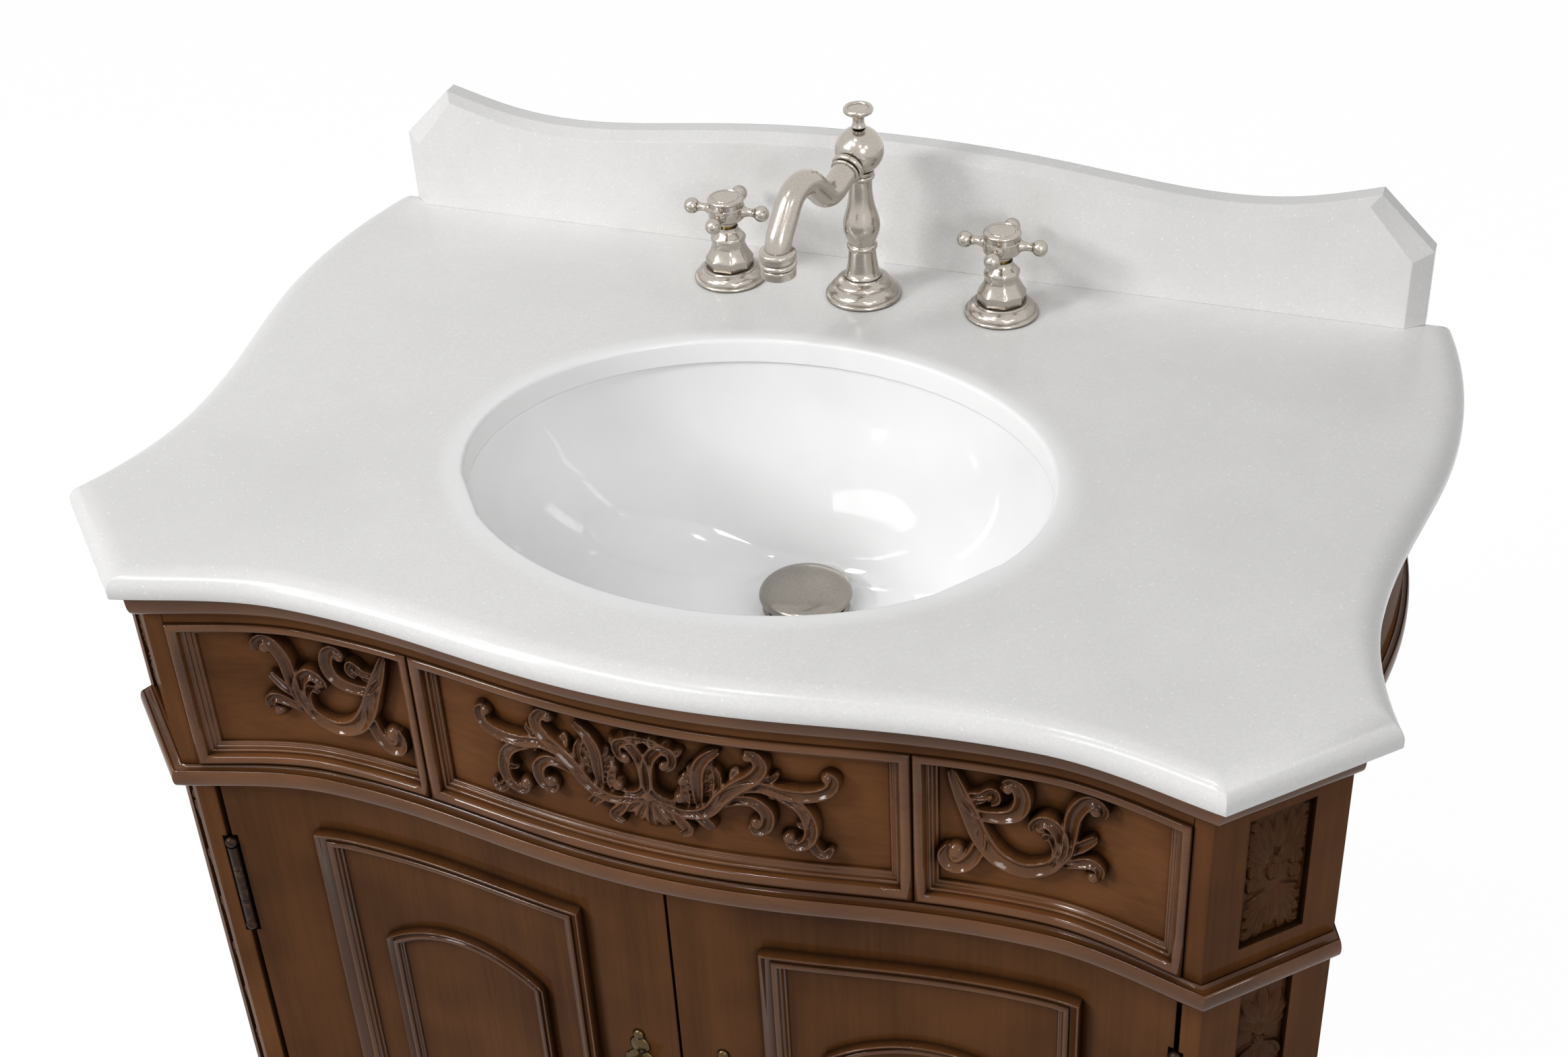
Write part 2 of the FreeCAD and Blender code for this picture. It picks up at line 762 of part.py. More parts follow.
def bottom_rail():
    end = hinge_x + hinge_side_gap - part_gap
    rail = front_band(case_front_in, case_front_in + board, case_bottom, rail_top)
    ledge = front_band(case_front_in, case_front_in + board + floor_rest, case_bottom, rail_top - seat_gap)
    rail = fused([rail, ledge])
    return rail.common(box(-end, end, front_y, 0, case_bottom, rail_top))


# Bracket-foot plinth: a ring with an ogee apron cut out of the front, the sides and the back
def plinth():
    side_in = frieze_side_in - side_share * plinth_out
    ring = prism(case_front_in - plinth_out, case_clip_in - plinth_out, side_in,
                 glide_height, plinth_height - seat_gap, lower_plan)
    inner = plinth_wall - plinth_out
    side_in = frieze_side_in + inner
    hollow = prism(case_front_in + inner, case_clip_in + inner, side_in, 0, plinth_height, lower_plan)
    ring = ring.cut(hollow)
    half = slab_half_width - corner_clip
    ring = ring.common(box(-slab_half_width, slab_half_width, front_y, case_back, 0, plinth_height))
    ring = ring.cut(apron_cut(half - foot_length, apron_height, slab_depth, 0))
    side_cut = apron_cut((slab_depth - corner_clip) / 2 - foot_length, apron_height, 2 * slab_half_width, 90)
    side_cut.translate(V(0, corner_clip / 2, 0))
    return ring.cut(side_cut)


def apron_cut(half, height, length, turn):
    foot = glide_height - 1
    knee = (0.74 * half, 0.95 * height)
    spans = [[(half, foot), (0.96 * half, 0.9 * height), (0.9 * half, 0.55 * height), knee]]
    spans.append([knee, (0.5 * half, 1.05 * height), (0.3 * half, height), (0, 0.8 * height)])
    spans = spans + mirrored(spans) + [[(-half, foot), (half, foot)]]
    edges = path_edges(spans, 0)
    solid = Part.Face(Part.Wire(edges)).extrude(V(0, 0, length))
    solid.rotate(V(0, 0, 0), V(1, 0, 0), 90)
    solid.translate(V(0, length / 2, 0))
    if turn == 0:
        solid.translate(V(0, -length / 2 + foot_length / 2, 0))
    solid.rotate(V(0, 0, 0), UP, turn)
    return solid


def foot_glides():
    middle = (plinth_wall - 2 * plinth_out) / 2
    corner = front_half(case_front_in + middle, case_clip_in + middle)[-1][-1]
    far = side_half(case_clip_in + middle, frieze_side_in + middle, lower_plan)
    front_spot = ((corner[0] + far[0][0][0]) / 2, (corner[1] + far[0][0][1]) / 2)
    back_spot = (far[-1][-1][0] - 0.1 * glide_r, case_back - 2 * glide_r)
    spots = [front_spot, back_spot]
    return [Part.makeCylinder(glide_r, glide_height, V(side * x, y, 0)) for x, y in spots for side in (-1, 1)]


def side_panel():
    start = side_start() + part_gap
    inner_in = frieze_side_in + side_board
    upper = side_band(frieze_side_in, inner_in, start, case_back, frieze_bottom, slab_bottom, upper_plan)
    lower = side_band(frieze_side_in, inner_in, start, case_back, case_bottom, frieze_bottom, lower_plan)
    return fused([upper, lower])


# Where the posts end and the side panels begin, over the whole height
def side_start():
    corner_y = slab_half_width - frieze_side_in - clip_line + ROOT2 * max(case_clip_in, frieze_front_in)
    return corner_y + post_depth


# Frames on the side: a rectangle with an arched frame inside it, as on the doors
def side_frames():
    y0 = side_start() + 30.0
    y1 = case_back - 40.0
    z0 = door_bottom + door_frame_edge
    z1 = door_top - door_frame_edge
    w = door_frame_width
    x0, x1 = 0, slab_half_width
    ring = box(x0, x1, y0, y1, z0, z1).cut(box(x0, x1, y0 + w, y1 - w, z0 + w, z1 - w))
    step = box(x0, x1, y0, y1, z0, z1)
    step = step.cut(box(x0, x1, y0 + 0.55 * w, y1 - 0.55 * w, z0 + 0.55 * w, z1 - 0.55 * w))
    face_in = frieze_side_in - seat_gap
    low_in = frieze_side_in - 0.5 * side_frame_proud
    high_in = frieze_side_in - side_frame_proud
    low = ring.common(side_band(low_in, face_in, y0, y1, z0, z1, lower_plan))
    high = step.common(side_band(high_in, face_in, y0, y1, z0, z1, lower_plan))
    frame = fused([low, high])
    a0, a1 = y0 + arch_margin, y1 - arch_margin
    foot, spring = z0 + arch_foot, z1 - arch_drop - arch_rise
    arch = arch_ring(a0, a1, foot, spring)
    arch.rotate(V(0, 0, 0), UP, 90)
    arch = arch.common(side_band(frieze_side_in - side_arch_proud, face_in, y0, y1, foot, z1, lower_plan))
    return [frame, arch]


# An upright field with a round head, run through from the front edge to the middle of the unit
def arch_shape(x0, x1, z0, spring, rise, y1):
    middle = (x0 + x1) / 2
    corners = [V(x0, y1, spring), V(x0, y1, z0), V(x1, y1, z0), V(x1, y1, spring)]
    edges = [Part.makeLine(corners[i], corners[i + 1]) for i in range(3)]
    edges.append(Part.Arc(corners[3], V(middle, y1, spring + rise), corners[0]).toShape())
    return Part.Face(Part.Wire(edges)).extrude(V(0, -slab_depth, 0))


# A frame moulding round an arched field; its inner arc runs round the same point as the outer one
def arch_ring(x0, x1, foot, spring):
    half = (x1 - x0) / 2
    radius = (half ** 2 + arch_rise ** 2) / (2 * arch_rise)
    middle = spring + arch_rise - radius
    inner_spring = middle + math.sqrt((radius - arch_width) ** 2 - (half - arch_width) ** 2)
    inner_rise = middle + radius - arch_width - inner_spring
    outer = arch_shape(x0, x1, foot, spring, arch_rise, 0)
    x0, x1 = x0 + arch_width, x1 - arch_width
    return outer.cut(arch_shape(x0, x1, foot + arch_width, inner_spring, inner_rise, 0))


# The room between the two side panels
def case_field():
    inside = frieze_side_in + side_board + seat_gap
    upper = prism(case_front_in, case_clip_in, inside, frieze_bottom, slab_bottom, upper_plan)
    lower = prism(case_front_in, case_clip_in, inside, case_bottom, frieze_bottom, lower_plan)
    return fused([upper, lower])


def back_posts():
    field = case_field()
    wall = case_back - back_thickness - seat_gap
    end = slab_half_width - frieze_side_in - side_board - seat_gap - lower_side_back
    start = end - back_post
    post = field.common(box(start, slab_half_width, wall - back_post, wall, case_bottom, slab_bottom))
    return [mirror(post), post]


def back_panel():
    field = case_field()
    panel = field.common(box(-slab_half_width, slab_half_width, case_back - back_thickness, case_back,
                             case_bottom, slab_bottom))
    half = plumbing_width / 2
    return panel.cut(box(-half, half, 0, back_y, plumbing_bottom, plumbing_bottom + plumbing_height))


def cabinet_floor(blockers):
    inside = frieze_side_in + side_board + seat_gap
    front = case_front_in + board + seat_gap
    panel = prism(front, case_clip_in, inside, rail_top, rail_top + floor_thickness, lower_plan)
    keep = box(-slab_half_width, slab_half_width, front_y, case_back - back_thickness - seat_gap,
               rail_top, rail_top + floor_thickness)
    panel = panel.common(keep)
    clear = door_in + board + part_gap
    clear_field = prism(clear, case_clip_in, inside, rail_top, rail_top + floor_thickness, lower_plan)
    panel = panel.common(clear_field)
    return panel.cut(blockers)


def corner_blocks():
    inside = frieze_side_in + side_board + seat_gap
    top = slab_bottom - seat_gap
    field = prism(case_front_in, case_clip_in, inside, top - block_height, top)
    blocks = []
    for from_back in (side_hollow_from_back - block_width, side_bulge_from_back + block_width):
        y = back_y - from_back
        inner = slab_half_width - inside - side_hollow - block_reach
        block = field.common(box(inner, slab_half_width, y, y + block_width, top - block_height, top))
        blocks.append(block)
        blocks.append(mirror(block))
    return blocks


def door_panel():
    panel = front_band(door_in, door_in + board, door_bottom, door_top)
    panel = panel.common(box(meeting_gap / 2, hinge_x - hinge_side_gap, front_y, 0, door_bottom, door_top))
    return panel.cut(hinge_relief())


def door_frame():
    x0, x1 = door_frame_margin, hinge_x - hinge_side_gap - door_frame_outer_margin
    return stepped_frame(x0, x1, door_bottom + door_frame_edge, door_top - door_frame_edge, door_frame_width,
                         door_in, door_frame_proud)


def door_arch():
    x0 = door_frame_margin + arch_margin
    x1 = hinge_x - hinge_side_gap - door_frame_outer_margin - arch_margin
    foot = door_bottom + door_frame_edge + arch_foot
    top = door_top - door_frame_edge - arch_drop
    arch = arch_ring(x0, x1, foot, top - arch_rise)
    return arch.common(front_band(door_in - arch_proud, door_in - seat_gap, foot, top + 1))


# Hinge leaf with its knuckles; the fixed leaf takes the two ends, the moving leaf the middle
def hinge_leaf(moving):
    side = -1 if moving else 1
    y = hinge_axis_y()
    leaves = []
    for z in hinge_bottoms():
        share = knuckle_share * hinge_length
        spans = [(z, z + share - part_gap), (z + hinge_length - share + part_gap, z + hinge_length)]
        if moving:
            spans = [(z + share, z + hinge_length - share)]
        x_far = hinge_x + side * (hinge_side_gap - seat_gap)
        x_near = hinge_x + side * (hinge_side_gap - seat_gap - leaf_thickness)
        x0, x1 = min(x_far, x_near), max(x_far, x_near)
        shapes = [box(x0, x1, y + barrel_r + part_gap, y + leaf_depth, z, z + hinge_length)]
        for low, high in spans:
            shapes.append(rod(barrel_r, V(hinge_x, y, low), V(hinge_x, y, high)))
            shapes.append(box(x0, x1, y, y + barrel_r + part_gap, low, high))
        leaf = fused(shapes)
        bore = hinge_pin_r + (running_gap if moving else seat_gap)
        leaf = leaf.cut(rod(bore, V(hinge_x, y, z - 1), V(hinge_x, y, z + hinge_length + 1)))
        leaves.append(leaf)
    return leaves


def hinge_pins():
    pins = []
    y = hinge_axis_y()
    for z in hinge_bottoms():
        top = z + hinge_length + hinge_tip_r
        shaft = rod(hinge_pin_r, V(hinge_x, y, z - hinge_tip_r), V(hinge_x, y, top))
        tips = []
        for end, way in ((z - seat_gap, -1), (z + hinge_length + seat_gap, 1)):
            ball = Part.makeSphere(hinge_tip_r, V(hinge_x, y, end + way * 0.8 * hinge_tip_r))
            low, high = min(end, end + way * 3 * hinge_tip_r), max(end, end + way * 3 * hinge_tip_r)
            tips.append(ball.common(box(hinge_x - 20, hinge_x + 20, y - 20, y + 20, low, high)))
        pins.append(fused([shaft] + tips))
    return pins


def pull_axis():
    y = front_edge_y(pull_x) + door_in - pull_plate - pull_pin_out
    return V(pull_x, y, door_top - pull_top_below - 0.34 * pull_height)


# Shaped back plate with two lugs that carry the pin of the drop
def pull_plate_solid():
    top = door_top - pull_top_below
    spots = [(0.07, 5.5), (0.16, 9.0), (0.34, 12.5), (0.52, 9.5), (0.7, 6.5), (0.84, 8.5), (0.95, 4.5)]
    shapes = [scroll_disc(pull_x, top - share * pull_height, r) for share, r in spots]
    low, high = top - 0.95 * pull_height, top - 0.07 * pull_height
    shapes.append(box(pull_x - 3.5, pull_x + 3.5, front_y, 0, low, high))
    plate = fused(shapes).common(front_band(door_in - pull_plate, door_in - seat_gap, top - pull_height, top))
    axis = pull_axis()
    lugs = []
    for way in (-1, 1):
        near = pull_eye_r + part_gap
        x0, x1 = sorted((axis.x + way * near, axis.x + way * (near + pull_lug)))
        lugs.append(box(x0, x1, axis.y, axis.y + pull_pin_out + pull_plate / 2, axis.z - 3, axis.z + 3))
        lugs.append(rod(3, V(x0, axis.y, axis.z), V(x1, axis.y, axis.z)))
    reach = pull_eye_r + part_gap + pull_lug
    pin = rod(pull_pin_r, V(axis.x - reach, axis.y, axis.z), V(axis.x + reach, axis.y, axis.z))
    return fused([plate] + lugs + [pin])


def pull_drop():
    axis = pull_axis()
    eye = rod(pull_eye_r, V(axis.x - pull_eye_r, axis.y, axis.z), V(axis.x + pull_eye_r, axis.y, axis.z))
    length, fat = pull_drop_length, pull_drop_r
    profile = [(0, -2.5), (1.8, -2.5), (1.8, -0.16 * length), (0.45 * fat, -0.3 * length),
               (0.8 * fat, -0.5 * length), (fat, -0.68 * length), (0.85 * fat, -0.84 * length),
               (0.4 * fat, -0.92 * length), (0.3 * fat, -length), (0, -length)]
    drop = fused([eye, turned(profile, axis.x, axis.y, axis.z)])
    reach = 2 * pull_eye_r
    bore = pull_pin_r + running_gap
    return drop.cut(rod(bore, V(axis.x - reach, axis.y, axis.z), V(axis.x + reach, axis.y, axis.z)))


def door_catches():
    half = catch_width / 2
    inner = door_in + board + catch_depth
    upper = front_band(recess_in + board + seat_gap, inner, frieze_bottom, frieze_bottom + catch_hold)
    lower = front_band(door_in + board + part_gap, inner, frieze_bottom - catch_drop, frieze_bottom)
    return fused([upper, lower]).common(box(-half, half, front_y, 0, frieze_bottom - catch_drop,
                                            frieze_bottom + catch_hold))


def flange(radius, bore, x):
    profile = [(bore, 0), (radius, 0), (radius, 2.6), (0.93 * radius, 0.55 * flange_step),
               (0.8 * radius, 0.78 * flange_step), (0.74 * radius, 0.85 * flange_step),
               (0.72 * radius, flange_step), (bore, flange_step)]
    return turned(profile, x, faucet_y, counter_height)


def spout_flange():
    tall = turned([(shank_r + running_gap, flange_step), (0.7 * spout_flange_r, flange_step),
                   (0.68 * spout_flange_r, 1.35 * flange_step), (0.52 * spout_flange_r, 1.55 * flange_step),
                   (shank_r + running_gap, 1.55 * flange_step)], 0, faucet_y, counter_height)
    return fused([flange(spout_flange_r, shank_r + running_gap, 0), tall])


def spout_column():
    low = -slab_thickness - shank_below
    foot = 1.55 * flange_step + 1.0
    h = column_seat
    profile = [(rod_bore_r, low), (shank_r, low), (shank_r, foot), (11.3, 0.2 * h), (9.5, 0.37 * h),
               (9.5, 0.42 * h), (10.6, 0.455 * h), (12.6, 0.51 * h), (13.1, 0.57 * h),
               (11.6, 0.64 * h), (9.3, 0.72 * h), (8.3, 0.84 * h), (8.7, 0.93 * h), (9.6, h), (spigot_r, h),
               (spigot_r, h + spigot_length), (rod_bore_r, h + spigot_length)]
    return turned(profile, 0, faucet_y, counter_height)


# Path of the spout in its own upright plane: distance from the column and height above the marble
def spout_path():
    points = [(6.0, ball_height - 2.0), (0.4 * spout_reach, ball_height - 16.5),
              (0.735 * spout_reach, ball_height + 21.0), (spout_reach, ball_height - 20.0),
              (spout_reach, aerator_bottom + 0.6 * aerator_height)]
    bends = [17.0, 21.0, 26.0]
    corners = [V(-s, 0, z) for s, z in points]
    edges = []
    here = corners[0]
    for i, radius in enumerate(bends):
        before, corner, after = corners[i], corners[i + 1], corners[i + 2]
        way_in = (before - corner).normalize()
        way_out = (after - corner).normalize()
        half = way_in.getAngle(way_out) / 2
        run = radius / math.tan(half)
        start = corner + way_in * run
        end = corner + way_out * run
        middle = corner + (way_in + way_out).normalize() * (radius / math.sin(half) - radius)
        edges.append(Part.makeLine(here, start))
        edges.append(Part.Arc(start, middle, end).toShape())
        here = end
    edges.append(Part.makeLine(here, corners[-1]))
    return Part.Wire(edges)


def spout_place(shape):
    shape.rotate(V(0, 0, 0), UP, 90 + spout_turn)
    shape.translate(V(0, faucet_y, counter_height))
    return shape


def spout_arm():
    path = spout_path()
    start = path.Edges[0]
    way = start.tangentAt(start.FirstParameter)
    section = Part.Wire(Part.makeCircle(spout_tube_r, start.Vertexes[0].Point, way))
    tube = path.makePipeShell([section], True, False)
    ball = Part.makeSphere(ball_r, V(0, 0, ball_height))
    collars = []
    for along, grow, length in ((16.0, 2.6, 3.0), (20.0, 1.4, 2.4)):
        root = start.Vertexes[0].Point + way * (along - 6.0)
        collars.append(Part.makeCylinder(spout_tube_r + grow, length, root, way))
    arm = fused([ball, tube] + collars)
    arm = arm.cut(box(-ball_r, ball_r, -ball_r, ball_r, 0, column_seat + part_gap))
    socket = Part.makeCylinder(spigot_r + running_gap, column_seat + spigot_length + part_gap, V(0, 0, 0))
    arm = arm.cut(socket)
    arm = arm.cut(Part.makeCylinder(lift_rod_r + 2 * running_gap, 2 * ball_height, V(0, 0, 0)))
    sleeve = Part.makeCylinder(aerator_r, aerator_height + 1, V(-spout_reach, 0, aerator_bottom - 1))
    return spout_place(arm.cut(sleeve))


# Aerator: two rings with a bead between them, open at the bottom
def aerator():
    h = aerator_height
    profile = [(0.7 * aerator_r, 0), (0.94 * aerator_r, 0), (0.94 * aerator_r, 0.38 * h),
               (aerator_r, 0.42 * h), (aerator_r, 0.55 * h), (0.94 * aerator_r, 0.6 * h),
               (aerator_r, 0.68 * h), (aerator_r, h), (spout_tube_r, h), (0, h), (0, 0.25 * h),
               (0.7 * aerator_r, 0.25 * h)]
    solid = turned(profile, 0, 0, 0)
    solid.translate(V(-spout_reach, 0, aerator_bottom))
    return spout_place(solid)


def faucet_nuts():
    nuts = []
    for x in (-handle_x, 0, handle_x):
        top = slab_bottom - seat_gap
        nut = hexagon(nut_r, x, faucet_y, top - nut_height, top)
        bore = Part.makeCylinder(shank_r + running_gap, nut_height + 2, V(x, faucet_y, top - nut_height - 1))
        nuts.append(nut.cut(bore))
    return nuts


def valve_body(x):
    low = -slab_thickness - shank_below
    profile = [(0, low - inlet_length), (inlet_r, low - inlet_length), (inlet_r, low), (shank_r, low),
               (shank_r, flange_step), (spindle_r, flange_step), (spindle_r, spindle_top), (0, spindle_top)]
    return turned(profile, x, faucet_y, counter_height)


# Eight-sided bell over the valve spindle
def bonnet(x):
    low = flange_step + seat_gap
    rise = bonnet_top - low
    levels = [(0.0, 1.0), (0.21, 1.0), (0.3, 0.93), (0.5, 0.8), (0.62, 0.74), (0.74, 0.74), (0.84, 0.62),
              (0.93, 0.47), (1.0, 0.44)]
    wires = [polygon_wire(8, size * bonnet_r, x, faucet_y, counter_height + low + share * rise, 22.5)
             for share, size in levels]
    bell = Part.makeLoft(wires, True, True)
    return bell.cut(Part.makeCylinder(spindle_r + running_gap, 2 * rise, V(x, faucet_y, counter_height)))


def cross_handle(x):
    profile = [(0, handle_bottom), (0.5 * hub_r, handle_bottom), (0.55 * hub_r, handle_bottom + 2.4),
               (0.86 * hub_r, handle_bottom + 3.6), (hub_r, handle_bottom + 6.0), (hub_r, handle_top - 7.0),
               (0.95 * hub_r, handle_top - 6.2), (0.95 * hub_r, handle_top - 2.2), (hub_r, handle_top - 1.6),
               (0.82 * hub_r, handle_top), (0.7 * hub_r, handle_top - 0.5), (0, handle_top - 0.5)]
    shapes = [turned(profile, 0, 0, 0)]
    for turn in (0, 90, 180, 270):
        way = V(math.cos(math.radians(turn)), math.sin(math.radians(turn)), 0)
        root = way * (0.7 * hub_r) + V(0, 0, arm_height)
        shapes.append(Part.makeCone(1.5 * arm_r, arm_r, arm_reach - 0.7 * hub_r, root, way))
        shapes.append(Part.makeSphere(arm_ball_r, way * arm_reach + V(0, 0, arm_height)))
    handle = fused(shapes)
    handle = handle.cut(Part.makeCylinder(spindle_r + running_gap, spindle_top + part_gap, V(0, 0, 0)))
    handle.translate(V(x, faucet_y, counter_height))
    return handle


def lift_rod():
    seat = ball_height + ball_r + knob_seat_gap
    rise = knob_top - seat
    profile = [(0, -lift_rod_below), (lift_rod_r, -lift_rod_below), (lift_rod_r, seat), (0.46 * knob_r, seat),
               (0.42 * knob_r, seat + 0.2 * rise), (0.4 * knob_r, seat + 0.4 * rise),
               (0.55 * knob_r, seat + 0.58 * rise), (0.97 * knob_r, seat + 0.74 * rise),
               (knob_r, seat + 0.84 * rise), (0.93 * knob_r, seat + 0.96 * rise),
               (0.75 * knob_r, seat + rise), (0.65 * knob_r, seat + 0.95 * rise), (0, seat + 0.95 * rise)]
    return turned(profile, 0, faucet_y, counter_height)


def pivot_height():
    return bowl_floor - pivot_below


def lift_strap():
    bottom = pivot_height() - strap_width
    rod_end = counter_height - lift_rod_below
    half = strap_width / 2
    y = faucet_y
    bar = box(-half, half, y - strap_thickness / 2, y + strap_thickness / 2, bottom, rod_end - part_gap)
    clamp = box(-half, half, y - half, y + half, rod_end - part_gap - strap_thickness, rod_end + strap_clamp)
    strap = fused([bar, clamp])
    socket = Part.makeCylinder(lift_rod_r + running_gap, 2 * strap_clamp, V(0, y, rod_end - part_gap))
    strap = strap.cut(socket)
    hole = rod(strap_hole_r, V(0, y - strap_width, pivot_height()), V(0, y + strap_width, pivot_height()))
    return strap.cut(hole)


def drain_flange():
    neck = bowl_floor - bowl_wall - locknut_height
    profile = [(drain_bore_r, neck), (drain_neck_r, neck), (drain_neck_r, bowl_floor + seat_gap),
               (drain_flange_r, bowl_floor + seat_gap),
               (drain_flange_r, bowl_floor + 0.4 * drain_flange_thickness),
               (0.92 * drain_flange_r, bowl_floor + drain_flange_thickness),
               (1.15 * drain_bore_r, bowl_floor + drain_flange_thickness), (drain_bore_r, bowl_floor)]
    return turned(profile, 0, drain_y, 0)


def drain_top():
    return bowl_floor - bowl_wall - locknut_height - seat_gap


def drain_body():
    top = drain_top()
    low = top - drain_body_length
    z = pivot_height()
    port_start = V(0, drain_y, z)
    port_end = V(0, drain_y + port_length, z)
    seat = pivot_ball_r + running_gap
    body = Part.makeCylinder(drain_body_r, drain_body_length, V(0, drain_y, low))
    body = fused([body, rod(seat + port_wall, port_start, port_end)])
    body = body.cut(Part.makeCylinder(drain_bore_r, drain_body_length + 2, V(0, drain_y, low - 1)))
    return body.cut(rod(seat, port_start, port_end + V(0, 1, 0)))


def drain_locknut():
    top = bowl_floor - bowl_wall - seat_gap
    nut = hexagon(locknut_r, 0, drain_y, top - locknut_height + seat_gap, top)
    below = V(0, drain_y, top - 1.5 * locknut_height)
    bore = Part.makeCylinder(drain_neck_r + running_gap, 2 * locknut_height, below)
    return nut.cut(bore)


def tailpiece():
    top = drain_top() - drain_body_length - seat_gap
    tube = Part.makeCylinder(tail_r, tail_length, V(0, drain_y, top - tail_length))
    below = V(0, drain_y, top - tail_length - 1)
    return tube.cut(Part.makeCylinder(tail_r - tail_wall, tail_length + 2, below))


# Domed stopper on a stem; the top of its eye rests on the pivot rod, which holds it open
def drain_stopper():
    low = bowl_floor + drain_flange_thickness + cap_lift
    z = pivot_height()
    profile = [(0, z + eye_r), (stem_r, z + eye_r), (stem_r, low), (cap_r - 4, low), (cap_r, low + 1.2),
               (cap_r, low + 0.3 * cap_height), (0.93 * cap_r, low + 0.52 * cap_height),
               (0.75 * cap_r, low + 0.75 * cap_height), (0.45 * cap_r, low + 0.94 * cap_height),
               (0, low + cap_height)]
    half = eye_width / 2
    eye_z = z + pivot_rod_r + seat_gap - eye_r
    thick = eye_thickness / 2
    eye = box(-half, half, drain_y - thick, drain_y + thick, eye_z - half, eye_z + half)
    stopper = fused([turned(profile, 0, drain_y, 0), eye])
    return stopper.cut(rod(eye_r, V(0, drain_y - eye_width, eye_z), V(0, drain_y + eye_width, eye_z)))


def pivot_rod():
    z = pivot_height()
    ball = V(0, drain_y + pivot_arm, z)
    inner = V(0, drain_y - eye_thickness - stem_r, z)
    outer = V(0, faucet_y + strap_width, z)
    return fused([Part.makeSphere(pivot_ball_r, ball), rod(pivot_rod_r, inner, outer)])


post = corner_post()
frieze_scroll = side_scroll()
carving = post_carving()
panel = side_panel()
frames = side_frames()
fixed_leaves = hinge_leaf(False)
moving_leaves = hinge_leaf(True)
pins = hinge_pins()

save("countertop", [countertop()])
save("backsplash", [backsplash()])
save("sink_basin", [sink_basin()])
save("sink_clips", sink_clips())
save("corner_post_right", [post])
save("corner_post_left", [mirror(post)])
save("post_carvings_right", carving)
save("post_carvings_left", [mirror(s) for s in carving])
save("frieze_board", [frieze_board()])
save("frieze_frames", frieze_frames())
save("frieze_scroll_right", [frieze_scroll])
save("frieze_scroll_left", [mirror(frieze_scroll)])
save("frieze_ornament", [centre_scroll()])
save("top_moulding", [top_moulding()])
save("waist_moulding", [waist_moulding()])
save("base_moulding", [base_moulding()])
save("bottom_rail", [bottom_rail()])
save("plinth", [plinth()])
save("foot_glides", foot_glides())
save("side_panel_right", [panel])
save("side_panel_left", [mirror(panel)])
save("side_frames_right", frames)
save("side_frames_left", [mirror(s) for s in frames])
back_corner_posts = back_posts()
save("back_posts", back_corner_posts)
save("back_panel", [back_panel()])
save("cabinet_floor", [cabinet_floor([post, mirror(post)] + back_corner_posts)])
save("corner_blocks", corner_blocks())
save("door_catch", [door_catches()])
save("hinge_fixed_leaves", fixed_leaves + [mirror(s) for s in fixed_leaves])
save("hinge_pins", pins + [mirror(s) for s in pins])
for side, place in (("right", lambda s: s), ("left", mirror)):
    save("door_panel_" + side, [place(door_panel())])
    save("door_frame_" + side, [place(door_frame())])
    save("door_arch_" + side, [place(door_arch())])
    save("hinge_leaves_" + side, [place(s) for s in moving_leaves])
    save("pull_plate_" + side, [place(pull_plate_solid())])
    save("pull_drop_" + side, [place(pull_drop())])
save("spout_flange", [spout_flange()])
save("spout_column", [spout_column()])
save("spout_arm", [spout_arm()])
save("aerator", [aerator()])
save("faucet_nuts", faucet_nuts())
save("handle_flanges", [flange(handle_flange_r, shank_r + running_gap, x) for x in (-handle_x, handle_x)])
save("valve_bodies", [valve_body(x) for x in (-handle_x, handle_x)])
save("bonnets", [bonnet(x) for x in (-handle_x, handle_x)])
save("handle_left", [cross_handle(-handle_x)])
save("handle_right", [cross_handle(handle_x)])
save("lift_rod", [lift_rod()])
save("lift_strap", [lift_strap()])
save("drain_flange", [drain_flange()])
save("drain_body", [drain_body()])
save("drain_locknut", [drain_locknut()])
save("tailpiece", [tailpiece()])
save("drain_stopper", [drain_stopper()])
save("pivot_rod", [pivot_rod()])
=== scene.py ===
import bisect
import math
import bmesh
import bpy
from mathutils import Matrix, Vector
from mathutils.geometry import interpolate_bezier


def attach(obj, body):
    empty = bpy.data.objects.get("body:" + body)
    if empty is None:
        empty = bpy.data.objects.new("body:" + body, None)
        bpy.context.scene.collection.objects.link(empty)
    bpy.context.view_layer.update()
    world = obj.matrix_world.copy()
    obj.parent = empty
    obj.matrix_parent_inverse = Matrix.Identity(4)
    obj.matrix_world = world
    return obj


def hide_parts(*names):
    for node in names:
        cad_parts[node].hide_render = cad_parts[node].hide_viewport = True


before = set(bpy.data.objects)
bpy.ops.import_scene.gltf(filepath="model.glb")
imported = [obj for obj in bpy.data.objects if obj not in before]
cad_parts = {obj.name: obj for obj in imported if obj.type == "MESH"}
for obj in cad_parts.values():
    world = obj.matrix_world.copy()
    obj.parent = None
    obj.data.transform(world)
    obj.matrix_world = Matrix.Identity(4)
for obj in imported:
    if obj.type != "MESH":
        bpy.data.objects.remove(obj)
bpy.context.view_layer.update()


# The case: clipped corner posts, bow-front boards and doors, panelled sides, rail and bracket-foot plinth.
# Stained hardwood under a satin lacquer; ambient occlusion darkens every hollow toward a dark brown, partly a
# dark glaze and partly painted shade.
# Boards are glued and screwed.
class Value:
    """A number that changes over a surface; arithmetic on it adds Math nodes."""

    def __init__(self, finish, socket):
        self.finish = finish
        self.socket = socket

    def math(self, operation, a, b):
        return self.finish.add("ShaderNodeMath", {"operation": operation}, {0: a, 1: b})

    def __add__(self, other):
        return self.math("ADD", self, other)

    def __rsub__(self, other):
        return self.math("SUBTRACT", other, self)

    def __mul__(self, other):
        return self.math("MULTIPLY", self, other)

    __radd__ = __add__
    __rmul__ = __mul__


